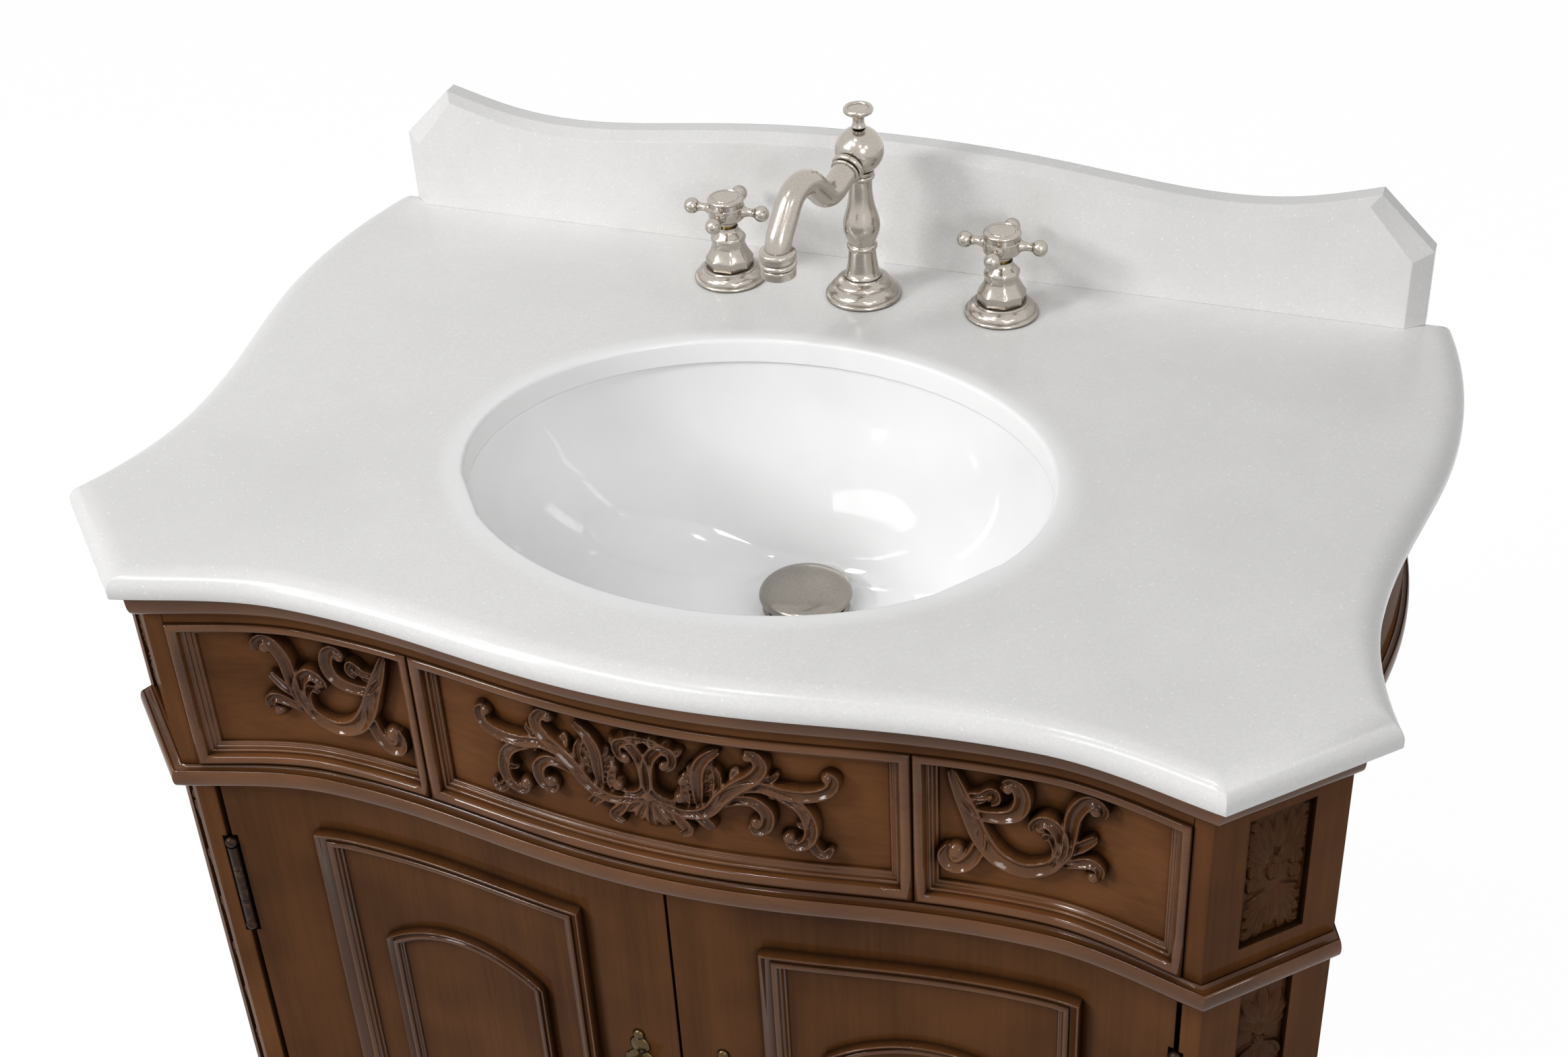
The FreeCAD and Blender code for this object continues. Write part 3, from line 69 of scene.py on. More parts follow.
class Finish:
    """A material: add puts in a node, its settings first and then the values or links of its sockets."""

    def __init__(self, name):
        self.material = bpy.data.materials.new(name)
        self.material.use_nodes = True
        self.tree = self.material.node_tree
        self.shader = self.tree.nodes["Principled BSDF"]

    def feed(self, socket, value):
        if isinstance(value, Value):
            self.tree.links.new(value.socket, socket)
        else:
            socket.default_value = value

    def add(self, kind, settings=None, values=None, out=0):
        node = self.tree.nodes.new(kind)
        for name, value in (settings or {}).items():
            setattr(node, name, value)
        for key, value in (values or {}).items():
            self.feed(node.inputs[key], value)
        return Value(self, node.outputs[out])

    def place(self, scale=(1, 1, 1)):
        spot = self.add("ShaderNodeTexCoord", out=3)
        return self.add("ShaderNodeMapping", None, {"Vector": spot, "Scale": scale})

    def noise(self, scale, detail=3.0, rough=0.55, stretch=(1, 1, 1)):
        values = {"Vector": self.place(stretch), "Scale": scale, "Detail": detail, "Roughness": rough}
        return self.add("ShaderNodeTexNoise", None, values)

    def ramp(self, value, low, high, start=0.0, end=1.0):
        values = {0: value, 1: low, 2: high, 3: start, 4: end}
        return self.add("ShaderNodeMapRange", {"interpolation_type": "SMOOTHSTEP"}, values)

    def mix(self, share, first, second):
        return self.add("ShaderNodeMix", {"data_type": "RGBA"}, {0: share, 6: first, 7: second}, 2)

    def hollows(self, reach):
        return 1.0 - self.add("ShaderNodeAmbientOcclusion", {"samples": 8}, {"Distance": reach}, 1)

    def bump(self, height, strength, depth, rounding=0.0):
        values = {"Height": height, "Strength": strength, "Distance": depth}
        if rounding:
            values["Normal"] = self.add("ShaderNodeBevel", {"samples": 4}, {"Radius": rounding})
        return self.add("ShaderNodeBump", None, values)

    def surface(self, **inputs):
        for name, value in inputs.items():
            self.feed(self.shader.inputs[name.replace("_", " ")], value)
        return self


def stain(red, green, blue):
    """A colour as it is seen, from 0 to 255, made linear."""
    return tuple(((c / 255 + 0.055) / 1.055) ** 2.4 for c in (red, green, blue)) + (1.0,)


def stained_wood(name, stretch, depth=1.0, shine=0.12, rounding=0.0009):
    """Stretch is the grain's scale along x, y and z, depth the stain's tone, shine the lacquer's weight."""
    wood = Finish(name)
    fibre = wood.noise(1.0, 5.0, 0.65, tuple(s * 260.0 for s in stretch))
    bands = wood.noise(1.0, 3.0, 0.5, tuple(s * 30.0 for s in stretch))
    mottle = wood.noise(11.0, 2.0)
    tone = wood.ramp(0.22 * fibre + 0.3 * bands + 0.48 * mottle, 0.32, 0.68)
    # Painted shade and glaze: ambient occlusion within 16 mm turns the colour toward a dark brown in creases
    # and corners.
    glaze = wood.ramp(wood.hollows(0.016), 0.08, 0.6)
    dark, light = [stain(*[c * depth for c in shade]) for shade in ((86, 52, 27), (120, 76, 42))]
    colour = wood.mix(glaze * 0.88, wood.mix(tone, dark, light), stain(26, 15, 9))
    peel = wood.noise(240.0, 2.0, 0.4)
    relief = wood.bump(0.5 * fibre + 0.8 * peel, 0.2, 0.0005, rounding)
    wood.surface(Base_Color=colour, Roughness=0.4 + 0.14 * fibre + 0.1 * glaze, Normal=relief)
    return wood.surface(Specular_IOR_Level=0.0, Coat_Weight=shine * (1.0 - 0.9 * glaze), Coat_Roughness=0.1)


def dress(finish, *nodes):
    for node in nodes:
        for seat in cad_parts[node].material_slots:
            seat.material = finish.material


upright_grain, level_grain = (1, 1, 0.035), (0.035, 1, 1)
wood_post = stained_wood("wood_post", upright_grain, rounding=0.0025)
# Painted shade: the doors' wood is the same stain painted darker (depth 0.86), for the shade under the waist
# moulding and the top.
wood_door_shaded = stained_wood("wood_door_shaded", upright_grain, depth=0.86)
wood_level = stained_wood("wood_level", level_grain)
dress(wood_post, "corner_post_left", "corner_post_right", "side_panel_left", "side_panel_right")
dress(wood_door_shaded, "door_panel_left", "door_panel_right")
dress(wood_level, "frieze_board", "bottom_rail", "plinth")

# Inside of the case: back posts and panel, floor and the blocks that hold the top.
# Plain pale board with a sealer coat, so its grain stays matt.
board = Finish("sealed_board")
board_grain = board.noise(1.0, 4.0, 0.6, (9, 160, 160))
board_patch = board.noise(7.0, 2.0)
board_tone = board.ramp(0.6 * board_grain + 0.4 * board_patch, 0.3, 0.7)
board.surface(Base_Color=board.mix(board_tone, stain(150, 112, 74), stain(182, 144, 102)),
              Roughness=0.55 + 0.2 * board_grain, Normal=board.bump(board_grain, 0.2, 0.0004))
dress(board, "back_posts", "back_panel", "cabinet_floor", "corner_blocks")

# Glides under the feet and the catch behind the doors: moulded grey plastic, pressed and screwed in.
plastic = Finish("grey_plastic")
plastic_grit = plastic.noise(900.0, 2.0)
plastic.surface(Base_Color=plastic.mix(plastic_grit, stain(82, 80, 77), stain(104, 101, 97)),
                Roughness=0.45 + 0.15 * plastic_grit, Normal=plastic.bump(plastic_grit, 0.1, 0.0002))
dress(plastic, "foot_glides", "door_catch")

# Mouldings round the case: under the top, at the waist and above the plinth.
# The same wood, run to a profile, mitred at the corners and glued on. Sizes here are in millimetres.
wood_run = stained_wood("wood_run", level_grain, shine=0.6)
front_y, back_y, case_back = -260.0, 260.0, 256.0
half_width, clip, setback, bow = 424.0, 81.0, 1.3, 22.4
frieze_in, case_side_in, door_in = 18.0, 24.0, 28.0
lower_front_in, lower_clip_in, lower_side = 26.0, 23.0, (24.0, 28.0)
hollow_in, hollow_y, bulge_y = 25.0, back_y - 329.0, back_y - 129.0
hollow_x = 0.685 * (half_width - clip)
clip_line = half_width - clip - front_y - setback


def along(poles, steps):
    """Points of a curve with four poles, all but the last."""
    line = interpolate_bezier(*[Vector((x, y, 0)) for x, y in poles], steps + 1)
    return [tuple(p)[:2] for p in line[:-1]]


def front_spans(front_in, clip_in):
    """The right half of the bow front in plan, set back from the marble's edge: bow, then the ear."""
    middle = (0.0, front_y + front_in)
    dip = (hollow_x, front_y + bow + front_in)
    corner_y = front_y + setback + front_in
    corner = (clip_line - math.sqrt(2) * clip_in + corner_y, corner_y)
    lead, reach, slope = 0.4 * hollow_x, corner[0] - hollow_x, 0.3 * (dip[1] - corner_y)
    return [[middle, (lead, middle[1]), (hollow_x - lead, dip[1]), dip],
            [dip, (hollow_x + 0.37 * reach, dip[1]), (corner[0] - 0.28 * reach, corner_y + slope), corner]]


def side_spans(clip_in, side_in, bulge_in=2.0, back_in=22.0):
    """The right side in plan from the clipped corner to the back: hollow, then bowed."""
    edge = half_width - side_in
    corner = (edge, edge - clip_line + math.sqrt(2) * clip_in)
    hollow, bulge, back = (edge - hollow_in, hollow_y), (edge - bulge_in, bulge_y), (edge - back_in, back_y)
    fore, middle, aft = (hollow[1] - corner[1]) / 3, 0.36 * (bulge[1] - hollow[1]), (back[1] - bulge[1]) / 3
    tail = back[0] + 0.682 * (bulge[0] - back[0])
    return [[corner, (corner[0] - 16.25, corner[1] + fore), (hollow[0], hollow[1] - fore), hollow],
            [hollow, (hollow[0], hollow[1] + middle), (bulge[0], bulge[1] - middle), bulge],
            [bulge, (bulge[0], bulge[1] + aft), (tail, back[1] - aft), back]]


def plan(front_in, clip_in, side_in, back=back_y, sides=()):
    """The outline from the left back corner round the front to the right back corner."""
    front, side = front_spans(front_in, clip_in), side_spans(clip_in, side_in, *sides)
    half = along(front[0], 24) + along(front[1], 16) + [front[1][3], side[0][0]]
    half += along(side[0], 12)[1:] + along(side[1], 14) + along(side[2], 12) + [side[2][3]]
    half = [(x, min(y, back)) for x, y in half]
    return [(-x, y) for x, y in reversed(half[1:])] + half


def loft(bm, rings, closed=True):
    """A skin through rings of equal count: the first ring's edges are extruded to each next one."""
    line = [bm.verts.new(p) for p in rings[0]]
    ends = line[1:] + line[:1] if closed else line[1:]
    edges = [bm.edges.new(pair) for pair in zip(line, ends)]
    outer = [list(edges)]
    for ring in rings[1:]:
        before = set(line)
        made = bmesh.ops.extrude_edge_only(bm, edges=edges)["geom"]
        ahead = {}
        for vert in [g for g in made if isinstance(g, bmesh.types.BMVert)]:
            for edge in vert.link_edges:
                if edge.other_vert(vert) in before:
                    ahead[edge.other_vert(vert)] = vert
        line = [ahead[v] for v in line]
        for vert, spot in zip(line, ring):
            vert.co = spot
        ends = line[1:] + line[:1] if closed else line[1:]
        edges = [bm.edges.get(pair) for pair in zip(line, ends)]
    return outer + [edges]


def place(name, bm, finish, slot, body, *nodes, crease=38):
    """Makes a piece of a mesh drawn in millimetres: merged, faces outwards, smooth up to the crease."""
    bmesh.ops.remove_doubles(bm, verts=bm.verts, dist=0.005)
    bmesh.ops.recalc_face_normals(bm, faces=bm.faces)
    bmesh.ops.scale(bm, vec=(0.001, 0.001, 0.001), verts=bm.verts)
    for face in bm.faces:
        face.smooth = True
    for edge in bm.edges:
        if len(edge.link_faces) == 2:
            edge.smooth = edge.calc_face_angle() < math.radians(crease)
    mesh = bpy.data.meshes.new(name)
    bm.to_mesh(mesh)
    bm.free()
    mesh.materials.append(finish.material)
    piece = bpy.data.objects.new(name, mesh)
    bpy.context.scene.collection.objects.link(piece)
    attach(piece, body)
    if nodes:
        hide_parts(*nodes)
    return piece


def flowing(points, steps=6):
    """A smooth line through points in space."""
    points = [Vector(p) for p in points]
    line = []
    for i, (here, ahead) in enumerate(zip(points, points[1:])):
        before, after = points[max(i - 1, 0)], points[min(i + 2, len(points) - 1)]
        lead, lag = here + (ahead - before) / 6, ahead - (after - here) / 6
        line += interpolate_bezier(here, lead, lag, ahead, steps + 1)[:-1]
    return line + [points[-1]]


def ring_moulding(name, front_in, clip_in, profile, node, sides=()):
    """Profile points are (outward, height); the back of the moulding lies on the boards."""
    bm = bmesh.new()
    rings = []
    for out, z in profile:
        outline = plan(front_in - out, clip_in - out, case_side_in - 0.7 * out, case_back, sides)
        rings.append([(x, y, z) for x, y in outline])
    loft(bm, rings + rings[:1], closed=False)
    bmesh.ops.remove_doubles(bm, verts=bm.verts, dist=0.005)
    bmesh.ops.holes_fill(bm, edges=[e for e in bm.edges if e.is_boundary], sides=0)
    return place(name, bm, wood_run, "carved_wood", "case", node, crease=50)


def rounded(profile, steps=3):
    return [(p.x, p.z) for p in flowing([(o, 0, z) for o, z in profile], steps)]


under_top = [(0.2, 842.0)] + rounded([(1.6, 842.0), (4.6, 842.9), (7.0, 845.0), (8.5, 848.4), (9.0, 852.6)])
under_top += [(9.0, 861.8), (0.2, 861.8)]
ring_moulding("moulding_under_top", frieze_in, frieze_in, under_top, "top_moulding")
nose = [(4.0, 701.3), (6.6, 702.0), (8.3, 704.2), (9.0, 707.6), (8.7, 711.2), (7.9, 713.6), (7.1, 714.7)]
waist = [(0.2, 701.3)] + rounded(nose) + [(6.7, 714.9), (6.2, 714.7)]
waist += rounded([(5.6, 714.5), (3.4, 714.8), (1.8, 715.6), (1.0, 716.4)]) + [(0.2, 716.4)]
ring_moulding("waist_moulding_run", frieze_in, frieze_in, waist, "waist_moulding")
foot = [(0.2, 100.3), (13.0, 100.3), (14.0, 101.5), (14.0, 116.5), (13.0, 118.2), (11.4, 118.6)]
foot += rounded([(11.0, 119.6), (10.4, 124.0), (7.8, 130.0), (4.2, 134.0), (2.6, 136.4), (2.4, 138.2)])
foot += [(1.6, 139.6), (0.2, 139.6)]
ring_moulding("base_moulding_run", lower_front_in, lower_clip_in, foot, "base_moulding", lower_side)


# Frame mouldings on the frieze: three mitred frames, each with a round bead outside and fine reeds inside.
# The same wood, planted in the recess of the frieze board so that the bead stands above the rails.
def across(line, spot):
    """The second coordinate of a line of points where its first has a given value."""
    at = min(max(bisect.bisect_left(line, (spot,)), 1), len(line) - 1)
    (a, b), (c, d) = line[at - 1], line[at]
    return b + (d - b) * (spot - a) / (c - a)


bow_lines = {}


def front_at(x, inset):
    """Where the bow front is at a given x, set back from the marble's edge."""
    if inset not in bow_lines:
        spans = front_spans(inset, inset)
        bow_lines[inset] = along(spans[0], 120) + along(spans[1], 80) + [spans[1][3]]
    return across(bow_lines[inset], abs(x))


def planted_frame(bm, x0, x1, z0, z1, profile, face):
    """A mitred frame round a rectangle; profile points are (inward, proud), face gives the carrying surface."""
    rings = []
    for inward, proud in profile:
        a, b, c, d = x0 + inward, x1 - inward, z0 + inward, z1 - inward
        level = [a + (b - a) * i / 24 for i in range(25)]
        loop = [(x, c) for x in level] + [(b, c + (d - c) * i / 4) for i in (1, 2, 3)]
        loop += [(x, d) for x in reversed(level)] + [(a, d - (d - c) * i / 4) for i in (1, 2, 3)]
        rings.append([face(x, z, proud) for x, z in loop])
    loft(bm, rings)


panel_in = 27.0


def on_frieze(x, z, proud):
    return (x, front_at(x, panel_in) - proud, z)


reeds = [(0.0, -0.5), (0.0, 8.8), (0.4, 10.0), (1.4, 11.2), (2.9, 11.8), (4.6, 11.5), (6.0, 10.3), (6.8, 8.7),
         (7.0, 7.0), (7.2, 6.3), (7.8, 6.2), (8.5, 6.5), (9.1, 6.1), (9.5, 5.2), (9.6, 4.4), (10.2, 4.2),
         (10.8, 4.3), (11.4, 3.6), (11.6, 2.8), (12.0, 2.4), (12.5, 2.4), (13.0, 1.7), (13.2, 0.8),
         (13.4, -0.5)]
wide_reeds = [(inward * 1.157, proud) for inward, proud in reeds]
frieze_low, frieze_high, divider, seam, frieze_end = 717.35, 833.25, 160.3, 0.2, 323.5
bm = bmesh.new()
planted_frame(bm, divider + seam, frieze_end, frieze_low, frieze_high, reeds, on_frieze)
planted_frame(bm, -frieze_end, -divider - seam, frieze_low, frieze_high, reeds, on_frieze)
planted_frame(bm, seam - divider, divider - seam, frieze_low, frieze_high, wide_reeds, on_frieze)
place("frieze_panel_frames", bm, wood_run, "carved_wood", "case", "frieze_frames", crease=55)


# Carvings on the frieze: leafy scrolls to both sides and a shell with branches in the middle.
# Carved in the same wood and glued into the panels; strokes are drawn flat as (x, z), then laid on the bow.
def swell(share, start, end):
    tip = start if share < 0.5 else end
    return tip + (1 - tip) * math.sin(math.pi * share) ** 0.7


gouge = [(1.0, 0.0), (0.97, 0.55), (0.86, 0.92), (0.7, 1.0), (0.45, 0.8), (0.2, 0.64), (0.0, 0.6)]
gouge += [(-u, v) for u, v in reversed(gouge[:-1])] + [(-0.8, -0.15), (0.8, -0.15)]


def stroke(bm, points, width, height, hollow=1.0, start=0.3, end=0.45):
    """A carved ribbon along a smooth line, gouged between two rims and tapered to both ends."""
    line = flowing([(x, 0, z) for x, z in points], 7)
    rings = []
    for i, spot in enumerate(line):
        ahead = (line[min(i + 1, len(line) - 1)] - line[max(i - 1, 0)]).normalized()
        across = Vector((-ahead.z, 0, ahead.x))
        size = swell(i / (len(line) - 1), start, end)
        ring = []
        for u, v in gouge:
            dome = math.sqrt(max(1 - u * u, 0)) if v >= 0 else v
            lift = height * (0.55 + 0.45 * size) * (hollow * v + (1 - hollow) * dome)
            ring.append(spot + across * (width / 2 * size * u) - Vector((0, lift, 0)))
        rings.append(ring)
    for edges in loft(bm, rings):
        bmesh.ops.contextual_create(bm, geom=edges)


def bud(bm, x, z, radius, height):
    ball = bmesh.ops.create_uvsphere(bm, u_segments=20, v_segments=12, radius=1.0)["verts"]
    bmesh.ops.scale(bm, vec=(radius, height, radius), verts=ball)
    bmesh.ops.translate(bm, vec=(x, 0, z), verts=ball)


def tilt(bm, verts, degrees, axis):
    bmesh.ops.rotate(bm, cent=(0, 0, 0), matrix=Matrix.Rotation(math.radians(degrees), 3, axis), verts=verts)


def lobe(bm, x, z, turn, length, width, height):
    """A leaf lobe that starts at a point and leans to one side; turn 0 points up, 90 to the right."""
    ball = bmesh.ops.create_uvsphere(bm, u_segments=28, v_segments=14, radius=1.0)["verts"]
    for vert in ball:
        vert.co.y *= 1.0 - 0.5 * math.exp(-(vert.co.x / 0.3) ** 2)
        vert.co.x *= 1.0 + 0.25 * vert.co.z
    bmesh.ops.scale(bm, vec=(width / 2, height, length / 2), verts=ball)
    bmesh.ops.translate(bm, vec=(0, 0, length / 2), verts=ball)
    tilt(bm, ball, turn, "Y")
    bmesh.ops.translate(bm, vec=(x, 0, z), verts=ball)


def carve(piece, grain):
    """Fuses the overlapping strokes into one carved body."""
    fuse = piece.modifiers.new("fuse", "REMESH")
    fuse.mode = "VOXEL"
    fuse.voxel_size = grain
    fuse.use_smooth_shade = True
    ease = piece.modifiers.new("ease", "SMOOTH")
    ease.factor = 0.5
    ease.iterations = 1


def bend_to_front(bm, inset):
    for vert in bm.verts:
        vert.co.y += front_at(vert.co.x, inset)


wood_carving = stained_wood("wood_carving", (1, 0.2, 1), 0.95, 0.6)
hands = (("right", 1), ("left", -1))
scroll_strokes = [
    (12.0, 8.5, [(182, 821), (187, 807), (193, 792), (200, 774), (210, 760), (225, 754), (239, 759),
                 (248, 770)]),
    (9.5, 9.0, [(245, 763), (250, 774), (252, 789), (254, 805), (260, 817), (266, 820), (271, 816),
                (270, 810)]),
    (9.5, 9.0, [(241, 760), (247, 773), (247, 786), (242, 794), (236, 795), (231, 790), (231, 785)]),
    (6.0, 7.5, [(241, 763), (244, 772), (243, 780), (239, 783), (235, 779)]),
    (7.5, 7.5, [(250, 772), (255, 779), (260, 784), (267, 791)]),
    (8.0, 7.5, [(247, 762), (256, 768), (265, 772), (270, 769), (270, 762)]),
    (10.0, 9.0, [(188, 801), (197, 792), (210, 792), (220, 797), (224, 807), (222, 816), (217, 819),
                 (213, 816)]),
    (7.0, 8.0, [(190, 804), (199, 805), (206, 810), (208, 804), (204, 800)]),
    (10.0, 8.5, [(199, 780), (199, 769), (195, 757), (188, 749), (181, 749), (178, 756), (181, 762)])]
scroll_buds = [(266, 812, 5.6, 8.5), (266, 760, 5.0, 7.5), (185, 758, 7.0, 8.5), (215, 813, 5.0, 8.0),
               (234, 787, 5.0, 7.5)]
scroll_leaves = [(246, 766, 38, 22), (248, 770, 12, 18), (243, 764, 70, 20), (200, 776, -40, 14),
                 (192, 797, 60, 14)]
for side, way in hands:
    bm = bmesh.new()
    for width, height, points in scroll_strokes:
        stroke(bm, [(way * x, z) for x, z in points], 1.2 * width, height)
    for x, z, radius, height in scroll_buds:
        bud(bm, way * x, z, radius, height)
    for x, z, lean, length in scroll_leaves:
        lobe(bm, way * x, z, way * lean, length, 6.5, 7.5)
    bend_to_front(bm, panel_in)
    scroll = place("scroll_carving_" + side, bm, wood_carving, "carved_wood", "case", "frieze_scroll_" + side)
    carve(scroll, 0.00055)

branch_strokes = [
    (8.5, 9.0, [(11, 794), (17, 801), (17, 810), (10, 812), (3, 803), (0.5, 790), (1.5, 778), (8, 772),
                (17, 770)]),
    (6.5, 8.5, [(-1, 816), (9, 815), (17, 810)]),
    (10.5, 9.0, [(5, 768), (23, 764), (37, 769), (47, 782), (56, 792), (67, 801), (72, 810), (68, 818),
                 (62, 818)]),
    (9.0, 8.0, [(32, 769), (32, 784), (33, 800), (38, 810), (46, 817)]),
    (6.0, 7.5, [(39, 772), (44, 785), (45, 797), (42, 804)]),
    (6.0, 7.0, [(24, 769), (24, 779), (22, 787)]),
    (9.5, 8.5, [(41, 774), (52, 787), (69, 794), (85, 791), (100, 791), (111, 796), (114, 804), (109, 808)]),
    (9.0, 8.5, [(41, 771), (54, 780), (66, 782), (74, 774), (73, 763), (67, 758), (63, 762)]),
    (9.0, 8.5, [(69, 792), (84, 787), (95, 780), (100, 767), (98, 755), (90, 749), (84, 753)]),
    (7.0, 7.5, [(99, 760), (101, 749), (107, 744), (111, 749)]),
    (8.0, 8.0, [(14, 764), (19, 758), (24, 751), (18, 745)]),
    (8.0, 8.0, [(28, 765), (36, 760), (40, 754)]),
    (5.5, 7.0, [(68, 801), (75, 799), (81, 804)]),
    (5.0, 7.0, [(90, 783), (96, 776), (96, 767), (90, 766)])]
branch_buds = [(12, 799, 5.0, 9.0), (20, 775, 5.0, 8.5), (67, 763, 5.6, 8.0), (86, 754, 5.6, 8.0),
               (64, 815, 4.6, 8.0), (110, 804, 4.6, 7.5), (22, 788, 4.0, 7.5)]
branch_leaves = [(33, 771, 58, 21), (33, 778, 52, 20), (34, 786, 46, 17), (35, 794, 40, 14), (32, 771, -62, 18),
                 (32, 778, -54, 16), (32, 785, -46, 14), (33, 792, -38, 12), (53, 789, 10, 15),
                 (72, 793, 140, 14)]
bm = bmesh.new()
for width, height, points in branch_strokes:
    stroke(bm, points, 1.1 * width, height)
for x, z, radius, height in branch_buds:
    bud(bm, x, z, radius, height)
for lean in (133, 157):
    lobe(bm, 0.5, 771, lean, 27, 9.5, 8.0)
for x, z, lean, length in branch_leaves:
    lobe(bm, x, z, lean, length, 8.0, 7.0)
for x, z, lean in ((16, 808, 60), (11, 811, 30), (5, 813, 8)):
    lobe(bm, x, z, lean, 9, 6.5, 9.0)
bmesh.ops.mirror(bm, geom=bm.verts[:] + bm.edges[:] + bm.faces[:], merge_dist=-1, axis="X")
lobe(bm, 0, 771, 180, 28, 9.5, 8.5)
bud(bm, 0, 772, 6.0, 9.0)
bend_to_front(bm, panel_in)
carve(place("shell_carving", bm, wood_carving, "carved_wood", "case", "frieze_ornament"), 0.00078)


# Carvings in the sunk panels of the clipped posts: a rosette between leaves above, a shell over husks below.
# Carved in the wood of the post; drawn flat and turned onto the clipped face.
panel_sunk = 5.0


def to_clip_face(bm, front_in, clip_in, way):
    corner, far = front_spans(front_in, clip_in)[1][3], side_spans(clip_in, case_side_in)[0][0]
    bmesh.ops.translate(bm, vec=(0, panel_sunk, 0), verts=bm.verts)
    tilt(bm, bm.verts, 45, "Z")
    bmesh.ops.translate(bm, vec=((corner[0] + far[0]) / 2, (corner[1] + far[1]) / 2, 0), verts=bm.verts)
    bmesh.ops.scale(bm, vec=(way, 1, 1), verts=bm.verts)


def panel_ground(bm, half, low, high):
    ground = bmesh.ops.create_cube(bm, size=1.0)["verts"]
    bmesh.ops.scale(bm, vec=(2 * half, 2.0, high - low), verts=ground)
    bmesh.ops.translate(bm, vec=(0, 0, (low + high) / 2), verts=ground)


def rosette_panel(bm):
    panel_ground(bm, 21.8, 733.2, 830.8)
    lobe(bm, 0, 774, 0, 17, 12.0, 5.0)
    for way in (-1, 1):
        lobe(bm, way * 14, 781, 0, 12, 11.0, 4.6)
        lobe(bm, way * 14.5, 770, 0, 12, 10.0, 4.3)
        for up, root in ((0, 788), (180, 770)):
            for lean, length in ((10, 40), (21, 43), (33, 33), (47, 24), (64, 18)):
                lobe(bm, way * 2.5, root, way * abs(up - lean), length, 7.0, 4.6)
        for z in (796, 805, 814, 823, 757, 748, 739):
            lobe(bm, way * 13.5, z, way * 90, 8.0, 7.5, 3.6)
    lobe(bm, 0, 797, 0, 30, 8.0, 4.4)
    lobe(bm, 0, 768, 180, 32, 9.0, 4.5)
    bud(bm, 0, 792, 4.0, 5.0)


def shell_panel(bm):
    panel_ground(bm, 17.8, 351.2, 686.8)
    for turn in (-78, -52, -26, 0, 26, 52, 78):
        lobe(bm, 0, 648, turn, 35 - 0.19 * abs(turn), 10.0, 4.8)
    bud(bm, 0, 646, 5.5, 5.0)
    for k in range(6):
        z, size = 637 - 46.0 * k, 1.0 - 0.06 * k
        for turn in (150, 180, 210):
            lobe(bm, 0, z, turn, (40 if turn == 180 else 33) * size, 10.5 * size, 4.5)
        for way in (-1, 1):
            curl = [(way * x * size, z - low) for x, low in ((3, 4), (11, 8), (14, 16), (9, 22))]
            stroke(bm, curl, 5.0 * size, 4.3)
        bud(bm, 0, z, 4.6 * size, 4.9)


wood_niche = stained_wood("wood_niche", (1, 1, 0.2), 0.8, 0.12)
for side, way in hands:
    bm = bmesh.new()
    rosette_panel(bm)
    to_clip_face(bm, frieze_in, frieze_in, way)
    rosette = place("post_rosette_" + side, bm, wood_niche, "carved_wood", "case", "post_carvings_" + side)
    carve(rosette, 0.0006)
    bm = bmesh.new()
    shell_panel(bm)
    to_clip_face(bm, lower_front_in, lower_clip_in, way)
    carve(place("post_shell_" + side, bm, wood_niche, "carved_wood", "case"), 0.0007)


# Frames on the doors and the sides: an outer mitred frame with a round bead, a round-headed one inside it.
# The same wood, planted on the boards; the doors' frames swing with the doors.
def arched_frame(bm, x0, x1, z0, spring, rise, profile, face):
    """Profile points are (inward, proud); the head is one shallow arc that meets the jambs in a mitre."""
    half, middle = (x1 - x0) / 2, (x0 + x1) / 2
    radius = (half * half + rise * rise) / (2 * rise)
    centre = spring + rise - radius
    rings = []
    for inward, proud in profile:
        reach, low, bend = half - inward, z0 + inward, radius - inward
        top = centre + math.sqrt(bend ** 2 - reach ** 2)
        sweep = math.asin(reach / bend)
        loop = [(middle - reach + 2 * reach * i / 16, low) for i in range(17)]
        loop += [(middle + reach, low + (top - low) * i / 8) for i in range(1, 8)]
        angles = [sweep * (1 - i / 12) for i in range(25)]
        loop += [(middle + bend * math.sin(a), centre + bend * math.cos(a)) for a in angles]
        loop += [(middle - reach, top - (top - low) * i / 8) for i in range(1, 8)]
        rings.append([face(x, z, proud) for x, z in loop])
    loft(bm, rings)


def on_door(x, z, proud):
    return (x, front_at(x, door_in) - proud, z)


lower_spans = side_spans(lower_clip_in, case_side_in, *lower_side)
side_line = [(y, x) for span in lower_spans for x, y in along(span, 60)]


def on_side(y, z, proud):
    """The case's right side at a given y, for frames drawn across it."""
    return (across(side_line, y) + proud, y, z)


def plant(name, bm, way, body, node):
    """A frame drawn for the right, mirrored for the left."""
    bmesh.ops.scale(bm, vec=(way, 1, 1), verts=bm.verts)
    place(name, bm, wood_frame, "carved_wood", body, node, crease=55)


wood_frame = stained_wood("wood_frame", upright_grain, 0.88, 0.6)
bead = [(0.0, -0.5), (0.0, 7.0), (0.3, 7.8), (1.0, 8.0), (1.7, 7.5), (2.7, 6.1), (4.1, 4.9), (5.6, 4.3),
        (6.3, 4.3), (6.7, 5.2), (7.6, 6.3), (8.9, 6.7), (10.2, 6.2), (11.1, 5.0), (11.4, 3.7), (12.0, 3.4),
        (12.9, 3.5), (13.4, 2.7), (13.6, 1.8), (14.4, 1.6), (14.9, 0.9), (15.0, -0.5)]
arch_bead = [(0.0, -0.5), (0.0, 5.0), (0.3, 5.8), (0.9, 6.0), (1.5, 5.5), (2.4, 4.2), (3.5, 3.5), (4.0, 3.6),
             (4.4, 4.5), (5.2, 5.2), (6.2, 5.4), (7.2, 4.9), (7.9, 3.7), (8.1, 2.6), (8.7, 2.4), (9.4, 2.4),
             (9.7, 1.6), (10.3, 1.3), (10.8, 0.8), (11.0, -0.5)]
